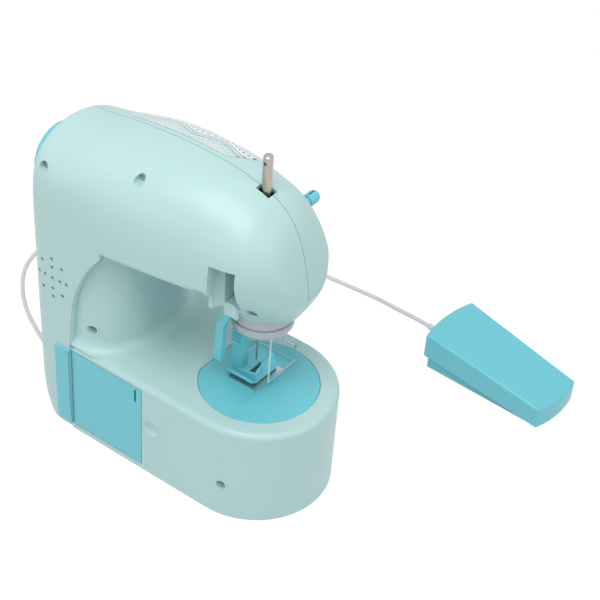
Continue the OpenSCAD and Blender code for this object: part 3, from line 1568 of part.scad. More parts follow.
// Route of the cord's middle line over the table, from the column round behind to the pedal
cord_route = [[-123.2, -14, 8], [-126, -14, 8], [-131, -13.5, 6.6], [-138, -12, 3.6], [-146, -9, 1.8],
  [-155, -5, 1.4], [-168, 1, 1.4], [-184, 10, 1.4], [-199, 22, 1.4], [-212, 37, 1.4], [-219, 53, 1.4],
  [-221, 70, 1.4], [-217, 90, 1.4], [-206, 112, 1.4], [-188, 131, 1.4], [-164, 145, 1.4], [-137, 153, 1.4],
  [-110, 157, 1.4], [-84, 159, 1.4], [-57, 160.4, 1.4], [-40, 161.4, 1.6], [-22, 161.2, 2.8],
  [-6, 158.4, 4.8], [4, 156.4, 6.6], [11, 155.2, 7.6], [16, 154.5, 8], [20.8, 154, 8]];
cord_sides = 8;
cord_points = 72;

// Smooth curve through the route's points
function hermite(a, b, ta, tb, t) =
  (2 * t * t * t - 3 * t * t + 1) * a + (t * t * t - 2 * t * t + t) * ta
  + (3 * t * t - 2 * t * t * t) * b + (t * t * t - t * t) * tb;
function route_tangent(i) = (cord_route[min(i + 1, len(cord_route) - 1)] - cord_route[max(i - 1, 0)]) / 2;
function route_at(u) = let (i = min(floor(u), len(cord_route) - 2))
  hermite(cord_route[i], cord_route[i + 1], route_tangent(i), route_tangent(i + 1), u - i);
function unit(v) = v / norm(v);

module power_cord() color(white) {
  last = len(cord_route) - 1;
  skin([for (i = [0:cord_points])
    let (u = last * i / cord_points,
      p = route_at(u),
      d = unit(route_at(min(u + seat, last)) - route_at(max(u - seat, 0))),
      side = unit(cross(d, [0, 0, 1])),
      lift = cross(side, d))
    [for (k = [0:cord_sides - 1]) let (a = -360 * (k + 0.5) / cord_sides)
      p + cord_d / 2 * (cos(a) * side + sin(a) * lift)]]);
}

base_housing();
front_shell();
rear_shell();
bottom_plate();
battery_door();
base_pads();
door_strip();
accessory_door();
accessory_box();
bed_plate();
needle_plate();
top_panel();
nose_ring();
finger_guard();
thread_peg();
shell_screws();
bottom_screws();
hand_wheel();
main_shaft();
wheel_bush();
main_gear();
upper_pulley();
drive_belt();
crank();
motor();
motor_pinion();
reduction_gear();
gear_axle();
gear_bracket();
bar_frame();
needle_bar();
needle_yoke();
needle_clamp();
clamp_screw();
needle();
presser_bar();
presser_collar();
presser_spring();
presser_foot();
presser_lifter();
lifter_bush();
lower_shaft();
lower_pulley();
lower_bearings();
rotary_hook();
bobbin_case();
bobbin();
feed_dog();
feed_cam();
battery_cells();
battery_contacts();
pedal_base();
pedal_cover();
pedal_pin();
pedal_spring();
pedal_switch();
pedal_pads();
machine_gland();
pedal_gland();
power_cord();
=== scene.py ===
import json
import math

import bmesh
import bpy
import numpy as np
from mathutils import Matrix, Vector


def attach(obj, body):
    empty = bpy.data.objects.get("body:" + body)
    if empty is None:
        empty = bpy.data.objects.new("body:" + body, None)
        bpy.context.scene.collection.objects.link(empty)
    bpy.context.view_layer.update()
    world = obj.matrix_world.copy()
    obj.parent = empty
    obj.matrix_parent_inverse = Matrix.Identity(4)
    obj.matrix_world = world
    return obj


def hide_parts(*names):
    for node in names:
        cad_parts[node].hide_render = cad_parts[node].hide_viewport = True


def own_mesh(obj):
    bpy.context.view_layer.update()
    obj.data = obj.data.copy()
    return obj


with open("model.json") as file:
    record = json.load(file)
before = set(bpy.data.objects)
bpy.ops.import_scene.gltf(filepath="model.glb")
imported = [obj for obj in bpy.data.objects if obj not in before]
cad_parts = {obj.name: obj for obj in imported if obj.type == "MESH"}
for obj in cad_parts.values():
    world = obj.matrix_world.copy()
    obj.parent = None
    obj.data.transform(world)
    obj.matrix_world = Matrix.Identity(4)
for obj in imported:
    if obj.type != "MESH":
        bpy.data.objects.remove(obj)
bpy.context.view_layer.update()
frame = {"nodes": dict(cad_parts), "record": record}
nodes = frame["nodes"]
scene = bpy.context.scene
mm = 0.001
print("frame loaded,", len(nodes), "nodes")


# camera, at the viewing angle of the picture
view = {
    "place": (358.6, -505.9, 611.0),
    "back": (0.4296, -0.6513, 0.6255),
    "roll": 4.70,
    "lens": 91.8,
    "sensor": 36.0,
    "farClip": 10.0,
}


def addCamera():
    data = bpy.data.cameras.new("camera")
    data.lens = view["lens"]
    data.sensor_width = view["sensor"]
    data.clip_end = view["farClip"]
    camera = bpy.data.objects.new("camera", data)
    back = Vector(view["back"]).normalized()
    right = Vector((0, 0, 1)).cross(back).normalized()
    up = back.cross(right)
    roll = math.radians(view["roll"])
    turnedRight = right * math.cos(roll) + up * math.sin(roll)
    turnedUp = up * math.cos(roll) - right * math.sin(roll)
    turn = Matrix((turnedRight, turnedUp, back)).transposed().to_4x4()
    camera.matrix_world = Matrix.Translation(Vector(view["place"]) * mm) @ turn
    scene.collection.objects.link(camera)
    scene.camera = camera


addCamera()
print("camera placed")


# nodes of shaders
def emptyTree(owner):
    owner.use_nodes = True
    owner.node_tree.nodes.clear()
    return owner.node_tree


def feedNode(tree, node, feeds):
    # each input takes another node's output or a plain value
    for label, value in feeds.items():
        if isinstance(value, bpy.types.NodeSocket):
            tree.links.new(value, node.inputs[label])
        else:
            node.inputs[label].default_value = value


def addNode(tree, kind, feeds, **settings):
    node = tree.nodes.new("ShaderNode" + kind)
    for name, value in settings.items():
        setattr(node, name, value)
    feedNode(tree, node, feeds)
    return node


def mathNode(tree, operation, *values):
    return addNode(tree, "Math", dict(enumerate(values)), operation=operation).outputs[0]


# light and floor
studio = {
    "sky": (0.93, 0.97, 1.0),
    "skyStrength": 0.27,
    "lamps": [
        # name, place, size, watts, colour
        ("key", (0.12, -0.48, 1.28), 0.9, 9.6, (1.0, 0.985, 0.96)),
        ("top", (-0.20, 0.20, 1.35), 1.1, 3.8, (1.0, 1.0, 1.0)),
        ("side", (1.20, 0.05, 0.60), 0.8, 3.2, (0.96, 0.98, 1.0)),
        ("front", (-0.85, -1.10, 0.40), 0.9, 2.8, (1.0, 1.0, 1.0)),
    ],
    "aim": (-0.02, 0.03, 0.09),
    "floorHalf": 9.0,
    "floorColour": (0.82, 0.83, 0.83),
    "floorWhite": 0.90,
    "floorShade": 0.16,
}


def addLight():
    world = bpy.data.worlds.new("studio")
    scene.world = world
    tree = emptyTree(world)
    soft = addNode(tree, "Background", {"Color": (*studio["sky"], 1), "Strength": studio["skyStrength"]})
    plain = addNode(tree, "Background", {"Color": (1, 1, 1, 1)})
    pickByRay(tree, soft, plain, "OutputWorld")
    aim = Vector(studio["aim"])
    for name, place, size, watts, colour in studio["lamps"]:
        data = bpy.data.lights.new(name, "AREA")
        data.shape = "DISK"
        data.size = size
        data.energy = watts
        data.color = colour
        lamp = bpy.data.objects.new(name, data)
        lamp.location = place
        lamp.rotation_euler = (aim - Vector(place)).to_track_quat("-Z", "Y").to_euler()
        lamp.visible_glossy = name != "top"  # no bright disc on the crown
        scene.collection.objects.link(lamp)


def pickByRay(tree, hidden, seen, output):
    # camera, mirror and glass rays all meet the plain white ground, light rays the other shader
    path = addNode(tree, "LightPath", {})
    last = path.outputs["Is Camera Ray"]
    for name in ("Is Glossy Ray", "Is Transmission Ray"):
        last = mathNode(tree, "MAXIMUM", last, path.outputs[name])
    pick = addNode(tree, "MixShader", {0: last, 1: hidden.outputs[0], 2: seen.outputs[0]})
    addNode(tree, output, {0: pick.outputs[0]})


def addFloor():
    half = studio["floorHalf"]
    corners = [(-half, -half, 0), (half, -half, 0), (half, half, 0), (-half, half, 0)]
    mesh = bpy.data.meshes.new("floor")
    mesh.from_pydata(corners, [], [(0, 1, 2, 3)])
    floor = bpy.data.objects.new("floor", mesh)
    scene.collection.objects.link(floor)
    paint = bpy.data.materials.new("floorPaint")
    tree = emptyTree(paint)
    matt = addNode(tree, "BsdfDiffuse", {"Color": (*studio["floorColour"], 1)})
    shade = addNode(tree, "BsdfDiffuse", {"Color": (studio["floorShade"],) * 3 + (1,)})
    glow = addNode(tree, "Emission", {"Strength": studio["floorWhite"]})
    both = addNode(tree, "AddShader", {0: shade.outputs[0], 1: glow.outputs[0]})
    pickByRay(tree, matt, both, "OutputMaterial")
    mesh.materials.append(paint)


addLight()
addFloor()
scene.view_settings.view_transform = "Standard"
print("light and floor placed")


# shader groups that several finishes share
def newGroup(name, inputs, outputs):
    group = bpy.data.node_groups.new(name, "ShaderNodeTree")
    for way, sockets in (("INPUT", inputs), ("OUTPUT", outputs)):
        for label, kind in sockets.items():
            group.interface.new_socket(label, in_out=way, socket_type="NodeSocket" + kind)
    return group, group.nodes.new("NodeGroupInput"), group.nodes.new("NodeGroupOutput")


def placeNode(tree):
    return addNode(tree, "TexCoord", {}).outputs["Object"]


def noiseNode(tree, vector, scale, detail, rough=0.5):
    feeds = {"Vector": vector, "Scale": scale, "Detail": detail, "Roughness": rough}
    return addNode(tree, "TexNoise", feeds).outputs["Fac"]


mould = {"cloudScale": 14.0, "cloudDetail": 3.0, "grainDetail": 2.0, "grainRough": 0.6,
         "fleckGloss": 0.10, "cloudGloss": 0.08}
drawn = {"streakDetail": 3.0, "spotScale": 160.0, "spotDetail": 2.0, "toneSwing": 0.16, "spotGloss": 0.14}


def swingNode(tree, noise, reach):
    # noise runs from 0 to 1, so this swings evenly round zero
    return mathNode(tree, "MULTIPLY_ADD", noise, reach, -reach / 2)


def mouldGroup():
    # moulded plastic: slow drift of the colour, fine grain in gloss and height
    group, given, result = newGroup(
        "mouldSkin", {"Colour": "Color", "Drift": "Float", "Gloss": "Float", "Grain": "Float"},
        {"Colour": "Color", "Roughness": "Float", "Height": "Float"})
    place = placeNode(group)
    cloud = noiseNode(group, place, mould["cloudScale"], mould["cloudDetail"])
    grain = noiseNode(group, place, given.outputs["Grain"], mould["grainDetail"], mould["grainRough"])
    swing = mathNode(group, "MULTIPLY", mathNode(group, "SUBTRACT", cloud, 0.5), given.outputs["Drift"])
    hue = addNode(group, "HueSaturation", {
        "Value": mathNode(group, "ADD", swing, 1.0), "Saturation": mathNode(group, "SUBTRACT", 1.0, swing),
        "Color": given.outputs["Colour"]})
    flecks = swingNode(group, grain, mould["fleckGloss"])
    wide = swingNode(group, cloud, mould["cloudGloss"])
    gloss = mathNode(group, "ADD", mathNode(group, "ADD", flecks, wide), given.outputs["Gloss"])
    feedNode(group, result, {"Colour": hue.outputs[0], "Roughness": gloss, "Height": grain})
    return group


def streakGroup():
    # drawn metal: long streaks along one axis of the piece
    group, given, result = newGroup(
        "drawnMetal", {"Along": "Vector", "Gloss": "Float"},
        {"Tone": "Float", "Roughness": "Float", "Height": "Float"})
    place = placeNode(group)
    stretch = addNode(group, "VectorMath", {0: place, 1: given.outputs["Along"]}, operation="MULTIPLY")
    streak = noiseNode(group, stretch.outputs[0], 1.0, drawn["streakDetail"])
    spots = noiseNode(group, place, drawn["spotScale"], drawn["spotDetail"])
    tone = mathNode(group, "MULTIPLY_ADD", streak, drawn["toneSwing"], 1 - drawn["toneSwing"] / 2)
    gloss = mathNode(group, "ADD", swingNode(group, spots, drawn["spotGloss"]), given.outputs["Gloss"])
    feedNode(group, result, {"Tone": tone, "Roughness": gloss, "Height": streak})
    return group


mouldSkin = mouldGroup()
drawnMetal = streakGroup()


def blankMaterial(name):
    made = bpy.data.materials.new(name)
    tree = emptyTree(made)
    surface = addNode(tree, "BsdfPrincipled", {})
    addNode(tree, "OutputMaterial", {0: surface.outputs[0]})
    return made, tree, surface


def srgb(red, green, blue):
    # the standard curve from screen values to light
    channel = np.array((red, green, blue)) / 255.0
    linear = np.where(channel <= 0.04045, channel / 12.92, ((channel + 0.055) / 1.055) ** 2.4)
    return (*linear.tolist(), 1)


def bumpNode(tree, height, strength, depth):
    return addNode(tree, "Bump", {"Height": height, "Strength": strength, "Distance": depth}).outputs[0]


def mixColour(tree, share, under, ink, blend="MIX"):
    feeds = {"Factor": share, "A": under, "B": ink}
    return addNode(tree, "Mix", feeds, data_type="RGBA", blend_type=blend).outputs["Result"]


skinDepth = 0.0002  # metres of relief at full bump
plastics = {
    # colour, gloss, drift, grain per metre, bump strength, specular
    "mintPlastic": (srgb(186, 220, 219), 0.36, 0.030, 1500.0, 0.10, 0.45),
    "turquoisePlastic": (srgb(116, 206, 220), 0.34, 0.035, 1500.0, 0.10, 0.45),
    "greyPlastic": (srgb(192, 196, 204), 0.34, 0.030, 1500.0, 0.08, 0.45),
    "palePlastic": (srgb(206, 228, 236), 0.30, 0.025, 1500.0, 0.06, 0.45),
    "whitePlastic": (srgb(226, 226, 221), 0.48, 0.040, 1100.0, 0.14, 0.40),
    "darkPlastic": (srgb(98, 104, 108), 0.50, 0.050, 1100.0, 0.16, 0.40),
    "rubber": (srgb(48, 48, 50), 0.78, 0.080, 800.0, 0.30, 0.30),
    "cordVinyl": (srgb(222, 219, 222), 0.46, 0.030, 1300.0, 0.12, 0.40),
    "cellSleeve": (srgb(52, 58, 64), 0.24, 0.060, 700.0, 0.05, 0.50),
}


def plasticMaterial(name):
    colour, gloss, drift, grain, bump, specular = plastics[name]
    made, tree, surface = blankMaterial(name)
    values = {"Colour": colour, "Drift": drift, "Gloss": gloss, "Grain": grain}
    skin = addNode(tree, "Group", values, node_tree=mouldSkin).outputs
    feedNode(tree, surface, {
        "Base Color": skin["Colour"], "Roughness": skin["Roughness"], "Specular IOR Level": specular,
        "Normal": bumpNode(tree, skin["Height"], bump, skinDepth)})
    return made


metals = {
    # colour, gloss, stretch of the streaks along X, Y and Z
    "steel": (srgb(196, 196, 199), 0.30, (70, 900, 900)),
    "barSteel": (srgb(186, 176, 166), 0.18, (1100, 1100, 90)),
    "brass": (srgb(214, 178, 104), 0.30, (300, 300, 300)),
}
metalBump, metalDepth = 0.12, 0.0001  # strength, metres


def metalMaterial(name):
    colour, gloss, along = metals[name]
    made, tree, surface = blankMaterial(name)
    streak = addNode(tree, "Group", {"Along": along, "Gloss": gloss}, node_tree=drawnMetal).outputs
    feedNode(tree, surface, {
        "Base Color": mixColour(tree, 1.0, colour, streak["Tone"], "MULTIPLY"),
        "Roughness": streak["Roughness"], "Metallic": 1.0,
        "Normal": bumpNode(tree, streak["Height"], metalBump, metalDepth)})
    return made


clearSheet = {"tint": (0.95, 0.985, 0.99, 1), "gloss": 0.02, "hazeGloss": 0.08, "hazeScale": 120.0, "bend": 1.12}


def hazeNode(tree, facts, detail=3.0):
    # a cloudy gloss that runs up from the sheet's own gloss
    haze = noiseNode(tree, placeNode(tree), facts["hazeScale"], detail)
    return mathNode(tree, "MULTIPLY_ADD", haze, facts["hazeGloss"], facts["gloss"])


def clearMaterial():
    made, tree, surface = blankMaterial("clearPlastic")
    feedNode(tree, surface, {
        "Base Color": clearSheet["tint"], "Roughness": hazeNode(tree, clearSheet),
        "Transmission Weight": 1.0, "IOR": clearSheet["bend"]})
    return made


finish = {name: plasticMaterial(name) for name in plastics}
finish.update({name: metalMaterial(name) for name in metals})
finish["clearPlastic"] = clearMaterial()
slotFinish = {
    "mint_plastic": "mintPlastic", "turquoise_plastic": "turquoisePlastic", "printed_panel": "palePlastic",
    "grey_plastic": "greyPlastic", "clear_plastic": "clearPlastic", "pale_plastic": "palePlastic",
    "white_plastic": "whitePlastic", "dark_plastic": "darkPlastic", "rubber": "rubber", "cord": "cordVinyl",
    "steel": "steel", "bright_steel": "barSteel", "brass": "brass", "battery": "cellSleeve",
}
nodeSlot = {row["node"]: row["material_slot"] for row in frame["record"]["subparts"]}
for nodeName, node in nodes.items():
    node.data.materials.clear()
    node.data.materials.append(finish[slotFinish[nodeSlot[nodeName]]])
print("finishes made:", len(finish))


# meshes from numpy grids; sizes are in millimetres
def putMesh(name, points, faces, sharpAngle=35.0):
    mesh = bpy.data.meshes.new(name)
    mesh.from_pydata((np.asarray(points, float).reshape(-1, 3) * mm).tolist(), [], faces)
    mesh.update()
    piece = bpy.data.objects.new(name, mesh)
    scene.collection.objects.link(piece)
    smoothBy(piece, sharpAngle)
    return piece


def smoothBy(piece, sharpAngle):
    mesh = piece.data
    mesh.polygons.foreach_set("use_smooth", np.ones(len(mesh.polygons), bool))
    mesh.set_sharp_from_angle(angle=math.radians(sharpAngle))
    mesh.update()


def gridFaces(rows, columns, caps=True):
    # quad (i, k) joins four neighbours of the grid; rings run right-handed about the way they follow
    step = np.arange(rows - 1)[:, None] * columns
    k = np.arange(columns)[None, :]
    a, b = step + k, step + (k + 1) % columns
    faces = np.stack([a, b, b + columns, a + columns], -1).reshape(-1, 4).tolist()
    if caps:
        faces.append(np.arange(columns)[::-1].tolist())
        faces.append((np.arange(columns) + (rows - 1) * columns).tolist())
    return faces


def ringPiece(name, rings, sharpAngle=35.0):
    # a grid of closed rings with both ends capped
    rings = np.asarray(rings, float)
    return putMesh(name, rings, gridFaces(rings.shape[0], rings.shape[1]), sharpAngle)


def combine(target, other, operation="DIFFERENCE"):
    # the other piece is used up
    change = target.modifiers.new("join", "BOOLEAN")
    change.operation = operation
    change.solver = "MANIFOLD"
    change.object = other
    shape = bpy.data.meshes.new_from_object(target.evaluated_get(bpy.context.evaluated_depsgraph_get()))
    target.modifiers.clear()
    old = target.data
    target.data = shape
    bpy.data.meshes.remove(old)
    bpy.data.objects.remove(other)
    return target


def copyOf(piece, name):
    twin = piece.copy()
    twin.data = piece.data.copy()
    twin.name = name
    scene.collection.objects.link(twin)
    return twin


def blockPiece(name, low, high):
    # the four corners of a plan at two heights
    low, high = np.array(low, float), np.array(high, float)
    corner = np.array([(0, 0), (1, 0), (1, 1), (0, 1)])
    plan = low[:2] + corner * (high[:2] - low[:2])
    rings = [np.column_stack([plan, np.full(4, z)]) for z in (low[2], high[2])]
    return ringPiece(name, rings)


farOut, farHigh = 200.0, 300.0  # cutters run past the part


def slabPiece(name, low, high):
    # everything between two heights
    return blockPiece(name, (-farOut, -farOut, low), (farOut, farOut, high))


turnTo = {
    # local right, local up and the axis itself
    "x": np.array([(0, 1, 0), (0, 0, 1), (1, 0, 0)], float),
    "y": np.array([(0, 0, 1), (1, 0, 0), (0, 1, 0)], float),
    "z": np.array([(1, 0, 0), (0, 1, 0), (0, 0, 1)], float),
}


def prismPiece(name, outline, axis, start, stop):
    # a flat outline, right-handed about its axis, carried straight along it
    outline = np.asarray(outline, float)
    base = turnTo[axis]
    rings = [outline @ base[:2] + base[2] * at for at in (start, stop)]
    return ringPiece(name, rings)


def revolvedPiece(name, profile, axis, centre, segments=64, squeeze=None, sharpAngle=35.0):
    # point = centre + axial * axis + radius * (cos, sin); squeeze scales the radius by angle and row
    profile = np.asarray(profile, float)
    base = turnTo[axis]
    angle = np.linspace(0, 2 * np.pi, segments, endpoint=False)
    round2 = np.stack([np.cos(angle), np.sin(angle)], -1)
    radius = profile[:, :1] * np.ones(segments)
    if squeeze is not None:
        radius = squeeze(radius, angle[None, :], profile)
    flat = radius[..., None] * round2[None]
    rings = np.asarray(centre, float) + flat @ base[:2] + profile[:, 1][:, None, None] * base[2]
    return ringPiece(name, rings, sharpAngle)


def rodPiece(name, axis, centre, start, stop, radius, segments=48):
    # one radius from start to stop
    return revolvedPiece(name, [(radius, start), (radius, stop)], axis, centre, segments)


def arcPoints(centre, radius, start, stop, count):
    # centre + radius * (cos, sin), angles in degrees
    angle = np.radians(np.linspace(start, stop, count))
    return np.column_stack([centre[0] + radius * np.cos(angle), centre[1] + radius * np.sin(angle)])


def roundedOutline(corners, radius, steps):
    # every corner of a right-handed outline becomes an arc that touches both of its sides
    corners = np.asarray(corners, float)
    points = []
    for before, here, after in zip(np.roll(corners, 1, 0), corners, np.roll(corners, -1, 0)):
        a, b = before - here, after - here
        a, b = a / np.linalg.norm(a), b / np.linalg.norm(b)
        half = math.acos(np.clip(a @ b, -1, 1)) / 2
        middle = here + (a + b) / np.linalg.norm(a + b) * radius / math.sin(half)
        first, last = here + a * radius / math.tan(half), here + b * radius / math.tan(half)
        start = math.atan2(*(first - middle)[::-1])
        turn = math.atan2(*(last - middle)[::-1]) - start
        turn = (turn + math.pi) % (2 * math.pi) - math.pi
        angle = start + turn * np.linspace(0, 1, steps)
        points.append(middle + radius * np.column_stack([np.cos(angle), np.sin(angle)]))
    return np.concatenate(points)


def insetOutline(outline, by, sharpest=0.3):
    # each point moves along the mean of its sides' inner normals, so that the sides move by the same amount
    before, after = outline - np.roll(outline, 1, 0), np.roll(outline, -1, 0) - outline
    normal = [np.column_stack([-side[:, 1], side[:, 0]]) / np.linalg.norm(side, axis=1, keepdims=True)
              for side in (before, after)]
    mean = normal[0] + normal[1]
    mean = mean / np.maximum(np.sum(mean * normal[0], axis=1, keepdims=True), sharpest)
    return outline + mean * by


def dress(piece, material, body, node):
    piece.data.materials.clear()
    piece.data.materials.append(finish[material])
    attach(piece, body)
    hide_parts(node)
    return piece


# the cord, a tube of fixed length from the column round behind to the pedal
cordFacts = {
    "diameter": 2.6,
    "route": [
        (-123.2, -14, 8), (-126, -14, 8), (-131, -13.5, 6.6), (-138, -12, 3.6), (-146, -9, 1.8), (-155, -5, 1.4),
        (-168, 1, 1.4), (-184, 10, 1.4), (-199, 22, 1.4), (-212, 37, 1.4), (-219, 53, 1.4), (-221, 70, 1.4),
        (-217, 90, 1.4), (-206, 112, 1.4), (-188, 131, 1.4), (-164, 145, 1.4), (-137, 153, 1.4), (-110, 157, 1.4),
        (-84, 159, 1.4), (-57, 160.4, 1.4), (-40, 161.4, 1.6), (-22, 161.2, 2.8), (-6, 158.4, 4.8), (4, 156.4, 6.6),
        (11, 155.2, 7.6), (16, 154.5, 8), (20.8, 154, 8)],
    "perSpan": 8,
    "sides": 20,
    "sharp": 60.0,
}


def hermite(t, a, ta, b, tb):
    # the cubic from a to b that leaves along ta and arrives along tb
    return ((2 * t ** 3 - 3 * t ** 2 + 1) * a + (t ** 3 - 2 * t ** 2 + t) * ta
            + (3 * t ** 2 - 2 * t ** 3) * b + (t ** 3 - t ** 2) * tb)


def smoothRoute(points, perSpan):
    # Hermite curve whose tangents are half the step between neighbours
    points = np.asarray(points, float)
    tangent = np.empty_like(points)
    tangent[1:-1] = (points[2:] - points[:-2]) / 2
    tangent[0], tangent[-1] = (points[1] - points[0]) / 2, (points[-1] - points[-2]) / 2
    t = np.linspace(0, 1, perSpan, endpoint=False)[None, :, None]
    a, b, ta, tb = (v[:, None, :] for v in (points[:-1], points[1:], tangent[:-1], tangent[1:]))
    return np.concatenate([hermite(t, a, ta, b, tb).reshape(-1, 3), points[-1:]])


def tubeRings(path, radius, sides):
    # a circle carried along the path, upright all the way
    along = np.gradient(path, axis=0)
    along /= np.linalg.norm(along, axis=1, keepdims=True)
    side = np.cross(along, (0, 0, 1))
    side /= np.linalg.norm(side, axis=1, keepdims=True)
    lift = np.cross(side, along)
    angle = np.linspace(0, 2 * np.pi, sides, endpoint=False)
    ring = np.cos(angle)[None, :, None] * side[:, None, :] - np.sin(angle)[None, :, None] * lift[:, None, :]
    return path[:, None, :] + radius * ring


def addCord():
    path = smoothRoute(cordFacts["route"], cordFacts["perSpan"])
    rings = tubeRings(path, cordFacts["diameter"] / 2, cordFacts["sides"])
    cord = ringPiece("cord", rings, cordFacts["sharp"])
    dress(cord, "cordVinyl", "machine", "power_cord")


addCord()


# column, arm and head: rings of two half superellipses, from the left face to the tip
shell = {
    "columnLeft": 115.0, "headRight": 30.0, "armTop": 190.5, "armUnder": 132.0,
    "frontDepth": 49.0, "rearDepth": 39.0, "wall": 2.2,
    # share of the length, top, front depth, rear depth, squareness of the front and rear shoulders
    "crown": [
        (0.000, 0.845, 0.930, 0.895, 3.4, 1.75), (0.007, 0.884, 0.962, 0.944, 3.4, 1.75),
        (0.025, 0.895, 0.985, 0.968, 3.4, 1.75), (0.060, 0.896, 0.996, 0.979, 3.4, 1.80),
        (0.115, 0.905, 0.999, 0.977, 3.35, 1.90), (0.220, 0.932, 0.989, 0.964, 3.3, 2.05),
        (0.321, 0.950, 0.966, 0.946, 2.9, 2.30), (0.430, 0.960, 0.928, 0.915, 2.6, 2.45),
        (0.540, 0.955, 0.888, 0.883, 2.5, 2.55), (0.667, 0.930, 0.826, 0.845, 2.4, 2.55),
        (0.745, 0.885, 0.786, 0.822, 2.3, 2.50), (0.788, 0.855, 0.762, 0.804, 2.3, 2.45),
        (0.844, 0.798, 0.716, 0.775, 2.2, 2.25), (0.903, 0.680, 0.622, 0.715, 2.1, 1.90),
        (0.938, 0.546, 0.520, 0.655, 2.0, 1.70), (0.972, 0.315, 0.360, 0.555, 2.0, 1.70),
        (0.993, 0.080, 0.180, 0.390, 2.0, 1.80), (1.000, -0.060, 0.060, 0.200, 2.0, 1.90)],
    # share of the length, waist, keel, squareness below the waist
    "keel": [
        (0.000, 0.150, 0.000, 9.0), (0.321, 0.150, 0.000, 9.0), (0.667, 0.150, 0.000, 7.0),
        (0.745, 0.160, 0.000, 6.0), (0.788, 0.190, -0.140, 3.2), (0.844, 0.240, -0.390, 1.8),
        (0.903, 0.260, -0.430, 1.6), (0.938, 0.240, -0.390, 1.7), (0.972, 0.150, -0.270, 1.9),
        (0.993, 0.000, -0.150, 2.0), (1.000, -0.070, -0.080, 2.0)],
    "armRow": 6, "movedRows": (3, 4), "least": 1.0, "fineSteps": 400, "coarse": 2, "sharp": 32.0,
    "columnSquare": 12.0, "footBelow": 12.0, "lean": 0.015, "footIn": 5.0, "footHigh": 30.0, "rearFuller": 0.5,
    "columnRings": 44, "armRings": 110, "quarter": 46, "seam": 0.18,
    "crestDrop": -2.2, "crestTilt": -0.10, "crestEnd": 0.32, "crestY": -14.0, "crestHalf": 24.0, "crestHump": 2.2,
}
shellLen = shell["columnLeft"] + shell["headRight"]
armHigh = shell["armTop"] - shell["armUnder"]


def shellRows():
    # one table for all stations: crown columns, then waist, keel and lower squareness
    crown, keel = np.array(shell["crown"]), np.array(shell["keel"])
    low = [np.interp(crown[:, 0], keel[:, 0], keel[:, c]) for c in (1, 2, 3)]
    return np.column_stack([crown, *low])


def splineRows(rows, first, last, count):
    # cubic through the rows over the length along the crown; both ends leave square to the length
    reach = np.column_stack([rows[:, 0] * shellLen, rows[:, 1] * armHigh, rows[:, 2] * shell["frontDepth"]])
    along = np.concatenate([[0], np.cumsum(np.linalg.norm(np.diff(reach, axis=0), axis=1))])
    slope = np.diff(rows, axis=0) / np.diff(along)[:, None]
    left, right = np.diff(along)[:-1, None], np.diff(along)[1:, None]
    tangent = np.empty_like(rows)
    tangent[1:-1] = (slope[:-1] * right + slope[1:] * left) / (left + right)
    tangent[0], tangent[-1] = slope[0], slope[-1]
    tangent[0, 0] = tangent[-1, 0] = 0
    at = np.linspace(along[first], along[last], count)
    i = np.clip(np.searchsorted(along, at, side="right") - 1, 0, len(rows) - 2)
    wide = (along[i + 1] - along[i])[:, None]
    t = ((at - along[i])[:, None]) / wide
    return hermite(t, rows[i], wide * tangent[i], rows[i + 1], wide * tangent[i + 1])


def powerOf(value, power):
    # keeps the sign
    return np.sign(value) * np.abs(value) ** power


def quarterPoints(q, depth, waist, height, power, count):
    # depth * cos^(2/e) across and waist + height * sin^(2/e) up, spaced evenly along the curve
    angle = np.radians(np.linspace(90 * q, 90 * q + 90, shell["fineSteps"]))
    flat = np.column_stack([depth * powerOf(np.cos(angle), 2 / power),
                            waist + height * powerOf(np.sin(angle), 2 / power)])
    run = np.concatenate([[0], np.cumsum(np.linalg.norm(np.diff(flat, axis=0), axis=1))])
    even = np.linspace(0, run[-1], count, endpoint=False)
    return np.column_stack([np.interp(even, run, flat[:, c]) for c in (0, 1)])


def crestLift(ring, s, waist, high):
    # near the left end the top drops, tilts and humps; a smooth step fades this out along the arm
    near = max(1 - s / shell["crestEnd"], 0)
    above = np.clip((ring[:, 1] - waist) / (high - waist), 0, 1)
    hump = np.maximum(1 - ((ring[:, 0] - shell["crestY"]) / shell["crestHalf"]) ** 2, 0) ** 2
    rise = shell["crestDrop"] + shell["crestTilt"] * ring[:, 0] + shell["crestHump"] * hump
    return near ** 2 * (3 - 2 * near) * above * rise


def columnLean(height):
    # the left face leans in evenly below the arm, and by a square law near the foot
    tuck = shell["footIn"] * (np.maximum(shell["footHigh"] - height, 0) / shell["footHigh"]) ** 2
    return shell["lean"] * np.maximum(shell["armUnder"] - height, 0) + tuck


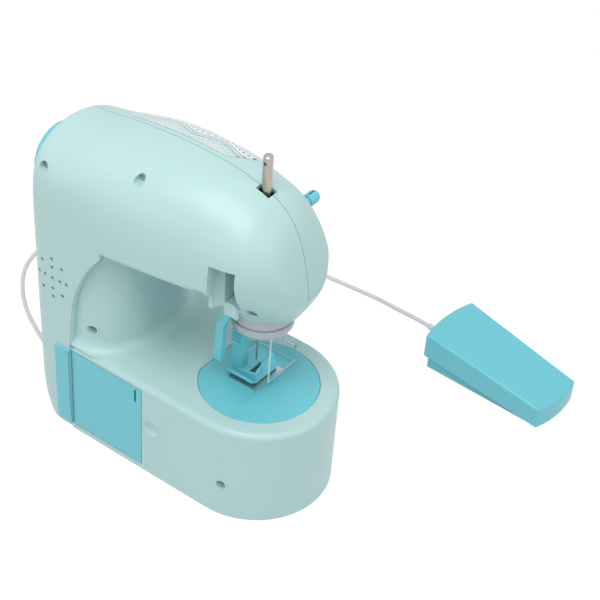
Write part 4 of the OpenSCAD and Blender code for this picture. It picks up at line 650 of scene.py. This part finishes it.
def skinRings(inset, column, coarse=1.0):
    # each ring has four quarters with their own depth, height and squareness; inset gives the inner skin
    rows = shellRows()
    shift = np.zeros(len(rows))
    left, right = shell["movedRows"]
    shift[:left], shift[-right:] = inset, -inset
    rows = np.column_stack([rows, shift])
    first, last, count = shell["armRow"], len(rows) - 1, shell["armRings"]
    if column:
        first, last, count = 0, shell["armRow"], shell["columnRings"]
    rows = splineRows(rows, first, last, int(count / coarse))
    quarter, least = int(shell["quarter"] / coarse), shell["least"]
    fade = 1 - rows[:, 0] / shell["crown"][shell["armRow"]][0] if column else np.zeros(len(rows))
    rings = []
    for row, faded in zip(rows, fade):
        s, top, front, rear, squareFront, squareRear, waist, keel, squareLow, x = row
        waist = shell["armUnder"] + armHigh * waist
        high = max(shell["armUnder"] + armHigh * top - inset, waist + least)
        floor = -shell["footBelow"] if column else shell["armUnder"] + armHigh * keel
        low = min(floor + inset, waist - least)
        parts = []
        for q in range(4):
            isRear, isUp = q in (0, 3), q < 2
            depth = shell["rearDepth"] * rear if isRear else shell["frontDepth"] * front
            power = squareRear if isRear else squareFront
            if not isUp:
                power = shell["columnSquare"] if column else squareLow + shell["rearFuller"] * isRear
            height = high - waist if isUp else waist - low
            parts.append(quarterPoints(q, max(depth - inset, least), waist, height, power, quarter))
        ring = np.concatenate(parts)
        ring[:, 1] += crestLift(ring, s, waist, high)
        lean = columnLean(ring[:, 1]) * faded
        rings.append(np.column_stack([-shell["columnLeft"] + shellLen * s + x + lean, ring]))
    return np.array(rings)


def columnPiece(name, inset, coarse=1.0):
    # the left end leans with its height, so level strips from front to rear close it
    rings = skinRings(inset, True, coarse)
    rows, count = rings.shape[:2]
    rear = np.arange(-count // 4, count // 4 + 1)
    back, front = rear % count, (count // 2 - rear) % count
    strips = np.stack([front[1:-2], front[2:-1], back[2:-1], back[1:-2]], -1).tolist()
    strips += [[front[1], back[1], back[0]], [front[-2], front[-1], back[-2]]]
    far = (np.arange(count) + (rows - 1) * count).tolist()
    return putMesh(name, rings, gridFaces(rows, count, caps=False) + strips + [far])


def armPiece(name, inset, coarse=1.0):
    # arm and head, from the column's last ring to the tip
    return ringPiece(name, skinRings(inset, False, coarse))


def crownSkin(name, inset):
    # column, arm and head in one
    return combine(columnPiece(name, inset), armPiece(name + "Arm", inset), "UNION")


arch = {"baseLeft": 90.8, "topX": 66.0, "bedHigh": 62.0, "riseShare": 0.38, "lean": 2.8, "square": 1.38,
        "steps": 40, "digits": 12, "low": -1.0}


def archOutline(grow):
    # a quarter superellipse from the pillar up to the arm's underside, then straight down to the foot
    rise = arch["bedHigh"] + (shell["armUnder"] - arch["bedHigh"]) * arch["riseShare"]
    turn = np.radians(np.linspace(0, 90, arch["steps"]))
    across, up = (powerOf(np.round(wave, arch["digits"]), 2 / arch["square"])
                  for wave in (np.cos(turn), np.sin(turn)))
    wide = arch["baseLeft"] - arch["lean"] - arch["topX"]
    curve = np.column_stack([-arch["topX"] - grow - wide * across, rise + (shell["armUnder"] - rise) * up])
    left = -arch["baseLeft"] - grow
    right = [(0, arch["low"]), (0, shell["armUnder"])]
    return np.concatenate([right, curve[::-1], [(left, arch["bedHigh"]), (left, arch["low"])]])


def archPrism(name, grow):
    # all to the right of the pillar and below the arm
    return prismPiece(name, archOutline(grow)[::-1, ::-1], "y", -farOut, farOut)


nose = {"x": 2.5, "stubLow": 111.2, "stubLowR": 16.4, "stubHighR": 18.0, "sleeveTop": 114.3, "sleeveR": 15.3,
        "floor": 1.8, "overlap": 1.0, "segments": 128, "boreSegments": 96, "left": -20.0}


def stubPiece(name, inset):
    # a cone under the head; the inner one runs past both its ends
    over = nose["overlap"] if inset else 0
    low, high = nose["stubLow"] - over, shell["armUnder"] + shell["wall"] + over
    profile = [(nose["stubLowR"] - inset, low), (nose["stubHighR"] - inset, high)]
    return revolvedPiece(name, profile, "z", (nose["x"], 0, 0), nose["segments"])


def belowHead(floor):
    # all that lies under the nose
    return blockPiece("belowHead", (nose["left"], -farOut, -farOut), (farOut, farOut, nose["stubLow"] + floor))


pillar = {
    "room": ((-95, -40, 3.2), (-66, 30, 117)),  # joins the hollows on both sides of the arch's wall
    "corner": ((-71, -44.5, 131.9), (-66.2, 30, 134.6)),  # closes the arch's top corner
    "below": -50.0,
}


def hollowFrame():
    # outer skin less inner skin; the column, the arm and the cone under the head are joined first
    wall = shell["wall"]
    outer = combine(columnPiece("outer", 0), archPrism("archOut", 0))
    combine(outer, slabPiece("underFoot", pillar["below"], 0))
    head = combine(armPiece("outerArm", 0), stubPiece("stubOut", 0), "UNION")
    combine(outer, combine(head, belowHead(0)), "UNION")
    inner = combine(columnPiece("inner", wall, shell["coarse"]), archPrism("archIn", wall))
    combine(inner, slabPiece("aboveFoot", pillar["below"], wall))
    combine(inner, blockPiece("room", *pillar["room"]), "UNION")
    head = combine(armPiece("innerArm", wall, shell["coarse"]), stubPiece("stubIn", wall), "UNION")
    combine(inner, combine(head, belowHead(nose["floor"])), "UNION")
    return combine(combine(outer, inner), blockPiece("archCorner", *pillar["corner"]), "UNION")


notch = {"left": -5.5, "right": 8.5, "top": 153.0, "back": 26.5, "round": 7.0, "cornerSteps": 20,
         "apronIn": 3.2, "apronLow": 118.0, "apronStep": 6.0,
         "bayLeft": -2.2, "bayDeep": 12.0, "bayLow": 126.0, "bayWall": 0.8}


def notchBlock(name, grow):
    # plan of the notch: open towards the front, with two round corners at its back wall
    r, back = notch["round"] + grow, -notch["back"] + grow
    left, right = notch["left"] - grow, notch["right"] + grow
    plan = np.concatenate([[(left, -farOut), (right, -farOut)],
                           arcPoints((right - r, back - r), r, 0, 90, notch["cornerSteps"]),
                           arcPoints((left + r, back - r), r, 90, 180, notch["cornerSteps"])])
    return prismPiece(name, plan, "z", 0, notch["top"] + grow)


def bayBox(grow):
    # the right half of the notch runs further in
    back = -notch["back"]
    low = (notch["bayLeft"] - grow, back - notch["round"] - grow, notch["bayLow"] - grow)
    return low, (notch["right"] + grow, back + notch["bayDeep"] + grow, notch["top"] + grow)


def lineNotch(body):
    # walls round the notch and its deeper half, and an apron that hangs below the arm
    wall, back, high = shell["wall"], -notch["back"], shell["armUnder"] + 2 * shell["wall"]
    liner = combine(notchBlock("liner", wall), armPiece("armCopy", 0), "INTERSECT")
    linerEnd = blockPiece("linerEnd", (-farOut, -farOut, 0), (farOut, back + 2 * wall, farHigh))
    combine(body, combine(liner, linerEnd, "INTERSECT"), "UNION")
    low, top = bayBox(notch["bayWall"])
    bayWall = combine(blockPiece("bayWall", low, top), armPiece("armCopy", 0), "INTERSECT")
    bayUnder = blockPiece("bayUnder", (low[0], back, low[2]), (top[0], top[1], high))
    combine(body, combine(bayWall, bayUnder, "UNION"), "UNION")
    inset, big = notch["apronIn"], notch["round"]
    apron = blockPiece("apron", (notch["left"] - wall, back - big, notch["apronLow"] + notch["apronStep"]),
                       (notch["left"] + big, back + wall, high))
    apronLow = blockPiece("apronLow", (notch["left"] + inset, back - big / 2, notch["apronLow"]),
                          (notch["right"] - inset, back + wall, high))
    combine(apron, apronLow, "UNION")
    combine(body, combine(apron, notchBlock("apronCut", wall), "INTERSECT"), "UNION")


cuts = {
    "slot": ((-4, -3.6, 132), (4, 3.6, 400)),
    "bores": [
        # name, axis, centre, start, stop, radius
        ("shaftHole", "x", (0, -12.5, 153.5), -200, -95, 5.6),
        ("lifterHole", "y", (-2, 0, 119), -21.3, 0, 3.5),
        ("glandHole", "x", (0, -14, 8), -200, -95, 2.7),
        ("pegHole", "y", (4.5, 0, 161), 0.5, 60, 2.3)],
    "screws": [(-107, -46.48, 170), (-54, -33.07, 179), (12, -24.01, 124)],
    "screwSink": 6.0, "screwHeadR": 2.8, "screwR": 1.5, "shankLong": 30.0, "postR": 3.8, "postEnd": 60.0,
    "columnRight": -70.0, "smallSides": 24,
    "ventAt": (-101, 103.5), "ventRings": [(0, 1), (7, 4), (12.6, 8)], "ventSqueeze": 0.78, "ventR": 1.1,
    "ventFrom": -50.2, "ventTo": -44.0,
}


def addPosts(body):
    # a post behind each sunk screw, cut to the skin that it stands in
    for x, y, z in cuts["screws"]:
        post = rodPiece("post", "y", (x, 0, z), y - cuts["screwSink"], cuts["postEnd"], cuts["postR"])
        skin = columnPiece if x < cuts["columnRight"] else armPiece
        combine(body, combine(post, skin("whole", 0, shell["coarse"]), "INTERSECT"), "UNION")


def cutHoles(body):
    # straight bores, sunk screw holes and rings of vents
    bore = rodPiece("noseBore", "z", (nose["x"], 0, 0), 0, nose["sleeveTop"], nose["sleeveR"], nose["boreSegments"])
    combine(body, bore)
    combine(body, blockPiece("slot", *cuts["slot"]))
    for row in cuts["bores"]:
        combine(body, rodPiece(*row))
    sink, sides = cuts["screwSink"], cuts["smallSides"]
    for x, y, z in cuts["screws"]:
        combine(body, rodPiece("head", "y", (x, 0, z), y - sink, y + sink, cuts["screwHeadR"]))
        combine(body, rodPiece("shank", "y", (x, 0, z), y, y + cuts["shankLong"], cuts["screwR"], sides))
    x0, z0 = cuts["ventAt"]
    for away, count in cuts["ventRings"]:
        for turn in math.pi / 2 + 2 * math.pi * np.arange(count) / count:
            at = (x0 + away * cuts["ventSqueeze"] * math.cos(turn), 0, z0 + away * math.sin(turn))
            combine(body, rodPiece("vent", "y", at, cuts["ventFrom"], cuts["ventTo"], cuts["ventR"], sides))


def addShells():
    # one hollow body with all its holes, parted on the seam
    body = hollowFrame()
    lineNotch(body)
    addPosts(body)
    combine(body, notchBlock("notch", 0))
    combine(body, blockPiece("bay", *bayBox(0)))
    cutHoles(body)
    pocket = prismPiece("pocket", panelOutline(panel["slack"]), "z", panel["low"], panel["high"])
    combine(body, combine(pocket, crownSkin("pocketFloor", panel["sink"] + panel["slack"] / 2)))
    gap = shell["seam"]
    rear = copyOf(body, "shellRear")
    front = combine(body, blockPiece("rearSide", (-farOut, -gap, pillar["below"]), (farOut, farOut, farHigh)))
    combine(rear, blockPiece("frontSide", (-farOut, -farOut, pillar["below"]), (farOut, gap, farHigh)))
    front.name = "shellFront"
    for piece, node in ((front, "front_shell"), (rear, "rear_shell")):
        smoothBy(piece, shell["sharp"])
        dress(piece, "mintPlastic", "machine", node)
        print(piece.name, "made,", len(piece.data.polygons), "faces")


# printed panel let into the top of the rear half
panel = {"front": 3.0, "rear": 27.0, "left": -91.0, "near": -27.0, "far": -15.0, "corner": 3.0, "proud": 0.5,
         "sink": 0.9, "slantShare": 0.6, "slack": 0.1, "low": 153.5, "high": 212.0,
         "cornerSteps": 10, "sharp": 40.0}


def panelOutline(grow):
    # a rectangle with one slanted end and round corners
    slant = panel["front"] + (panel["rear"] - panel["front"]) * panel["slantShare"]
    corners = [(panel["left"], panel["front"]), (panel["near"], panel["front"]), (panel["far"], slant),
               (panel["far"], panel["rear"]), (panel["left"], panel["rear"])]
    return insetOutline(roundedOutline(corners, panel["corner"], panel["cornerSteps"]), -grow)


def addPanel():
    # a slice of the skin, from just below it to just above it, cut to the outline
    plate = crownSkin("topPanel", -panel["proud"])
    combine(plate, prismPiece("panelEdge", panelOutline(0), "z", panel["low"], panel["high"]), "INTERSECT")
    combine(plate, crownSkin("panelUnder", panel["sink"]))
    smoothBy(plate, panel["sharp"])
    dress(plate, "panelPrint", "machine", "top_panel")


strip = {"thick": 1.2, "wide": 9.6, "low": 3.8, "high": 58.1, "gap": 0.1, "slack": 0.05, "front": -100.0,
         "sharp": 40.0}


def addStrip():
    # a slice of the column's skin beside the door
    plate = columnPiece("doorStrip", -strip["thick"])
    right = -arch["baseLeft"]
    combine(plate, blockPiece("stripEdge", (right - strip["wide"], strip["front"], strip["low"]),
                              (right - strip["gap"], 0, strip["high"])), "INTERSECT")
    combine(plate, columnPiece("stripUnder", -strip["slack"]))
    smoothBy(plate, strip["sharp"])
    dress(plate, "turquoisePlastic", "machine", "door_strip")


inkLine = srgb(76, 134, 146)
printInk = {
    "skin": {"Colour": srgb(216, 221, 223), "Drift": 0.03, "Gloss": 0.26, "Grain": 1200.0},
    "bump": 0.05, "coat": 0.3, "coatGloss": 0.12,
    "waves": 210.0, "swing": 0.0022,  # radians of the wave per metre, metres to each side
    # middle across the panel, half width, colour
    "bands": [(0.0068, 0.0016, srgb(176, 216, 219)), (0.0094, 0.00028, inkLine),
              (0.0150, 0.0026, srgb(236, 238, 238)), (0.0119, 0.00028, inkLine), (0.0181, 0.00028, inkLine),
              (0.0222, 0.0018, srgb(160, 206, 211)), (0.0246, 0.00022, inkLine)],
    # middle across the panel, radius, distance between dots, colour
    "dots": [(0.0150, 0.0009, 0.0066, srgb(84, 156, 168)), (0.0222, 0.0006, 0.0048, srgb(240, 242, 242)),
             (0.0068, 0.0006, 0.0048, srgb(240, 242, 242))],
}


def printMaterial():
    # wavy bands of thin lines with rows of dots between them, on a pale ground
    made, tree, surface = blankMaterial("panelPrint")
    split = addNode(tree, "SeparateXYZ", {0: placeNode(tree)}).outputs
    x, y = split["X"], split["Y"]
    wave = mathNode(tree, "SINE", mathNode(tree, "MULTIPLY", x, printInk["waves"]))
    across = mathNode(tree, "ADD", y, mathNode(tree, "MULTIPLY", wave, printInk["swing"]))
    skin = addNode(tree, "Group", printInk["skin"], node_tree=mouldSkin).outputs
    last = skin["Colour"]
    for middle, half, ink in printInk["bands"]:
        away = mathNode(tree, "ABSOLUTE", mathNode(tree, "SUBTRACT", across, middle))
        last = mixColour(tree, mathNode(tree, "LESS_THAN", away, half), last, ink)
    for middle, radius, pitch, ink in printInk["dots"]:
        cell = mathNode(tree, "SUBTRACT", mathNode(tree, "PINGPONG", x, pitch / 2), pitch / 4)
        rise = mathNode(tree, "SUBTRACT", across, middle)
        squares = [mathNode(tree, "MULTIPLY", side, side) for side in (cell, rise)]
        far = mathNode(tree, "SQRT", mathNode(tree, "ADD", *squares))
        last = mixColour(tree, mathNode(tree, "LESS_THAN", far, radius), last, ink)
    feedNode(tree, surface, {
        "Base Color": last, "Roughness": skin["Roughness"],
        "Coat Weight": printInk["coat"], "Coat Roughness": printInk["coatGloss"],
        "Normal": bumpNode(tree, skin["Height"], printInk["bump"], skinDepth)})
    return made


finish["panelPrint"] = printMaterial()
addShells()
addPanel()
addStrip()
print("panel and strip made")


# hand wheel: a turned body with scallops round its rim
wheel = {"x0": -129.7, "x1": -117.7, "r": 19.5, "round": 4.0, "dish": 2.0, "hubR": 7.0, "bore": 3.25,
         "scallops": 20, "scallopDeep": 0.7, "scallopShare": 0.42, "scallopFade": 1.6, "segments": 320,
         "edge": 1.0, "lip": 0.6, "rimFrom": -81.0, "boreEnd": 0.3, "axle": (0, -12.5, 153.5), "sharp": 38.0,
         "edgeSteps": 6, "lipSteps": 5, "rimSteps": 14}


def scallop(radius, angle, profile):
    # cosine hollows round the rim, fading out below the rim's own radius
    turn = (angle * wheel["scallops"] / (2 * np.pi)) % 1.0 - 0.5
    dent = np.where(np.abs(turn) < wheel["scallopShare"] / 2,
                    np.cos(np.pi * turn / wheel["scallopShare"]) ** 2, 0)
    near = np.clip((profile[:, :1] - (wheel["r"] - wheel["scallopFade"])) / wheel["scallopFade"], 0, 1)
    return radius - wheel["scallopDeep"] * dent * near


def addWheel():
    # hub, dish, lip, rim and back face as one profile, turned about the shaft
    x0, x1, r, big, edge, lipR = (wheel[key] for key in ("x0", "x1", "r", "round", "edge", "lip"))
    inner, floor = r - big, x0 + wheel["dish"]
    hub = arcPoints((wheel["hubR"] - edge, x0 + edge), edge, -90, 0, wheel["edgeSteps"])
    lip = arcPoints((inner + lipR, x0 + lipR), lipR, 180, 270, wheel["lipSteps"])
    rim = arcPoints((inner, x0 + big), big, wheel["rimFrom"], 0, wheel["rimSteps"])
    end = arcPoints((r - edge, x1 - edge), edge, 0, 90, wheel["edgeSteps"])
    profile = np.concatenate([hub, [(wheel["hubR"], floor), (inner, floor)], lip, rim, end,
                              [(wheel["bore"], x1), (wheel["bore"], floor + wheel["boreEnd"])]])
    piece = revolvedPiece("handWheel", profile, "x", wheel["axle"], wheel["segments"], scallop, wheel["sharp"])
    dress(piece, "turquoisePlastic", "wheel", "hand_wheel")


addWheel()
print("hand wheel made")


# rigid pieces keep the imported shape, with rounded edges: a merged copy, finished by a bevel
edgeRound = {
    "base_housing": 0.45, "accessory_door": 0.5, "bed_plate": 0.25, "needle_plate": 0.15, "presser_lifter": 0.6,
    "presser_foot": 0.3, "finger_guard": 0.3, "pedal_cover": 0.9, "pedal_base": 0.5, "thread_peg": 0.25,
    "nose_ring": 0.25, "wheel_bush": 0.3, "needle_bar": 0.3, "needle_clamp": 0.3, "clamp_screw": 0.3,
    "machine_gland": 0.25, "pedal_gland": 0.25, "bottom_plate": 0.3, "battery_door": 0.3, "accessory_box": 0.25,
    "shell_screws": 0.2, "bottom_screws": 0.2, "base_pads": 0.2, "pedal_pads": 0.2, "lifter_bush": 0.15,
}
copyFacts = {"digits": 7, "weld": 2e-6, "flat": 0.6, "sharp": 40.0, "bevelFrom": 42.0, "bevelSteps": 3}
pedalEdge = {"middle": (76.0, 148.0, 4.0), "round": 1.5, "steps": 4, "steep": 0.7, "steepShare": 0.5}
bodyOf = {name: body for body, names in frame["record"]["behaviour"]["bodies"].items() for name in names}


def readMesh(mesh):
    points, corner = np.empty(len(mesh.vertices) * 3), np.empty(len(mesh.loops), int)
    mesh.vertices.foreach_get("co", points)
    mesh.loops.foreach_get("vertex_index", corner)
    return points.reshape(-1, 3), corner


def mergedCopy(node):
    # points at one spot become one, flat neighbours become one face
    points, corner = readMesh(nodes[node].data)
    spot, same = np.unique(np.round(points, copyFacts["digits"]), axis=0, return_inverse=True)
    faces = same.reshape(-1)[corner].reshape(-1, 3)
    distinct = (faces[:, 0] != faces[:, 1]) & (faces[:, 1] != faces[:, 2]) & (faces[:, 2] != faces[:, 0])
    words = node.split("_")
    name = words[0] + "".join(word.title() for word in words[1:])
    piece = putMesh(name, spot / mm, faces[distinct].tolist(), copyFacts["sharp"])
    work = bmesh.new()
    work.from_mesh(piece.data)
    bmesh.ops.remove_doubles(work, verts=work.verts, dist=copyFacts["weld"])
    bmesh.ops.dissolve_limit(work, angle_limit=math.radians(copyFacts["flat"]), verts=work.verts, edges=work.edges)
    work.to_mesh(piece.data)
    work.free()
    smoothBy(piece, copyFacts["sharp"])
    return dress(piece, slotFinish[nodeSlot[node]], bodyOf[node], node)


def roundedCopy(node, width):
    # edges where faces turn by more than the angle get a round of this width
    piece = mergedCopy(node)
    bevel = piece.modifiers.new("edges", "BEVEL")
    bevel.width = width * mm
    bevel.segments = copyFacts["bevelSteps"]
    bevel.limit_method = "ANGLE"
    bevel.angle_limit = math.radians(copyFacts["bevelFrom"])
    bevel.use_clamp_overlap = True
    bevel.miter_outer = "MITER_ARC"
    return piece


def softenPedal(piece):
    # only edges between faces that look away from the middle are rounded, the upright ones less
    middle, sharp = Vector(pedalEdge["middle"]) * mm, math.radians(copyFacts["bevelFrom"])
    work = bmesh.new()
    work.from_mesh(piece.data)
    weight = work.edges.layers.float.new("bevel_weight_edge")
    for edge in work.edges:
        away = all(face.normal.dot(face.calc_center_median() - middle) > 0 for face in edge.link_faces)
        if edge.is_manifold and away and edge.calc_face_angle_signed() > sharp:
            rise = abs(edge.verts[0].co.z - edge.verts[1].co.z) / edge.calc_length()
            edge[weight] = pedalEdge["steepShare"] if rise > pedalEdge["steep"] else 1.0
    work.to_mesh(piece.data)
    work.free()
    bevel = piece.modifiers["edges"]
    bevel.limit_method = "WEIGHT"
    bevel.use_clamp_overlap = False
    bevel.width = pedalEdge["round"] * mm
    bevel.segments = pedalEdge["steps"]


copies = {node: roundedCopy(node, width) for node, width in edgeRound.items()}
softenPedal(copies["pedal_cover"])
print("rounded pieces:", len(copies))


# springs, which shorten as what presses them moves; here each is a merged copy with a mesh of its own
springs = {
    # joint, end that stays, share of the length that is left
    "presser_spring": ("lifter_swing", (-8.5, -3.0, 135.85), 0.46),
    "pedal_spring": ("pedal_press", (59.0, 147.3, 2.16), 0.72),
}
for node, (joint, still, left) in springs.items():
    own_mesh(mergedCopy(node))
print("springs made:", len(springs))


# painted highlight: the guard's narrow rims get an opaque pale colour for the light that leaves the clear sheet
# there
guardRim = {"thick": 1.7, "colour": srgb(226, 240, 242), "gloss": 0.22, "hazeGloss": 0.2, "hazeScale": 300.0,
            "bend": 1.3}


def paintedRimLightMaterial():
    # an opaque pale finish, a painted highlight in place of the light at the sheet's edges
    made, tree, surface = blankMaterial("guardRim")
    feedNode(tree, surface, {
        "Base Color": guardRim["colour"], "Roughness": hazeNode(tree, guardRim), "IOR": guardRim["bend"]})
    return made


def paintGuardRimLight(piece):
    # a face belongs to the rim where its area over its longest reach is less than the sheet's thickness; the rim
    # and its rounded edges take the painted highlight
    mesh = piece.data
    mesh.materials.append(paintedRimLightMaterial())
    points, corner = readMesh(mesh)
    start, area = np.empty(len(mesh.polygons), int), np.empty(len(mesh.polygons))
    mesh.polygons.foreach_get("loop_start", start)
    mesh.polygons.foreach_get("area", area)
    spots = points[corner]
    reach = np.maximum.reduceat(spots, start, axis=0) - np.minimum.reduceat(spots, start, axis=0)
    paintedLightRim = area / np.linalg.norm(reach, axis=1) < guardRim["thick"] * mm
    mesh.polygons.foreach_set("material_index", paintedLightRim.astype(np.int32))
    piece.modifiers["edges"].material = 1


paintGuardRimLight(copies["finger_guard"])
print("guard dressed")
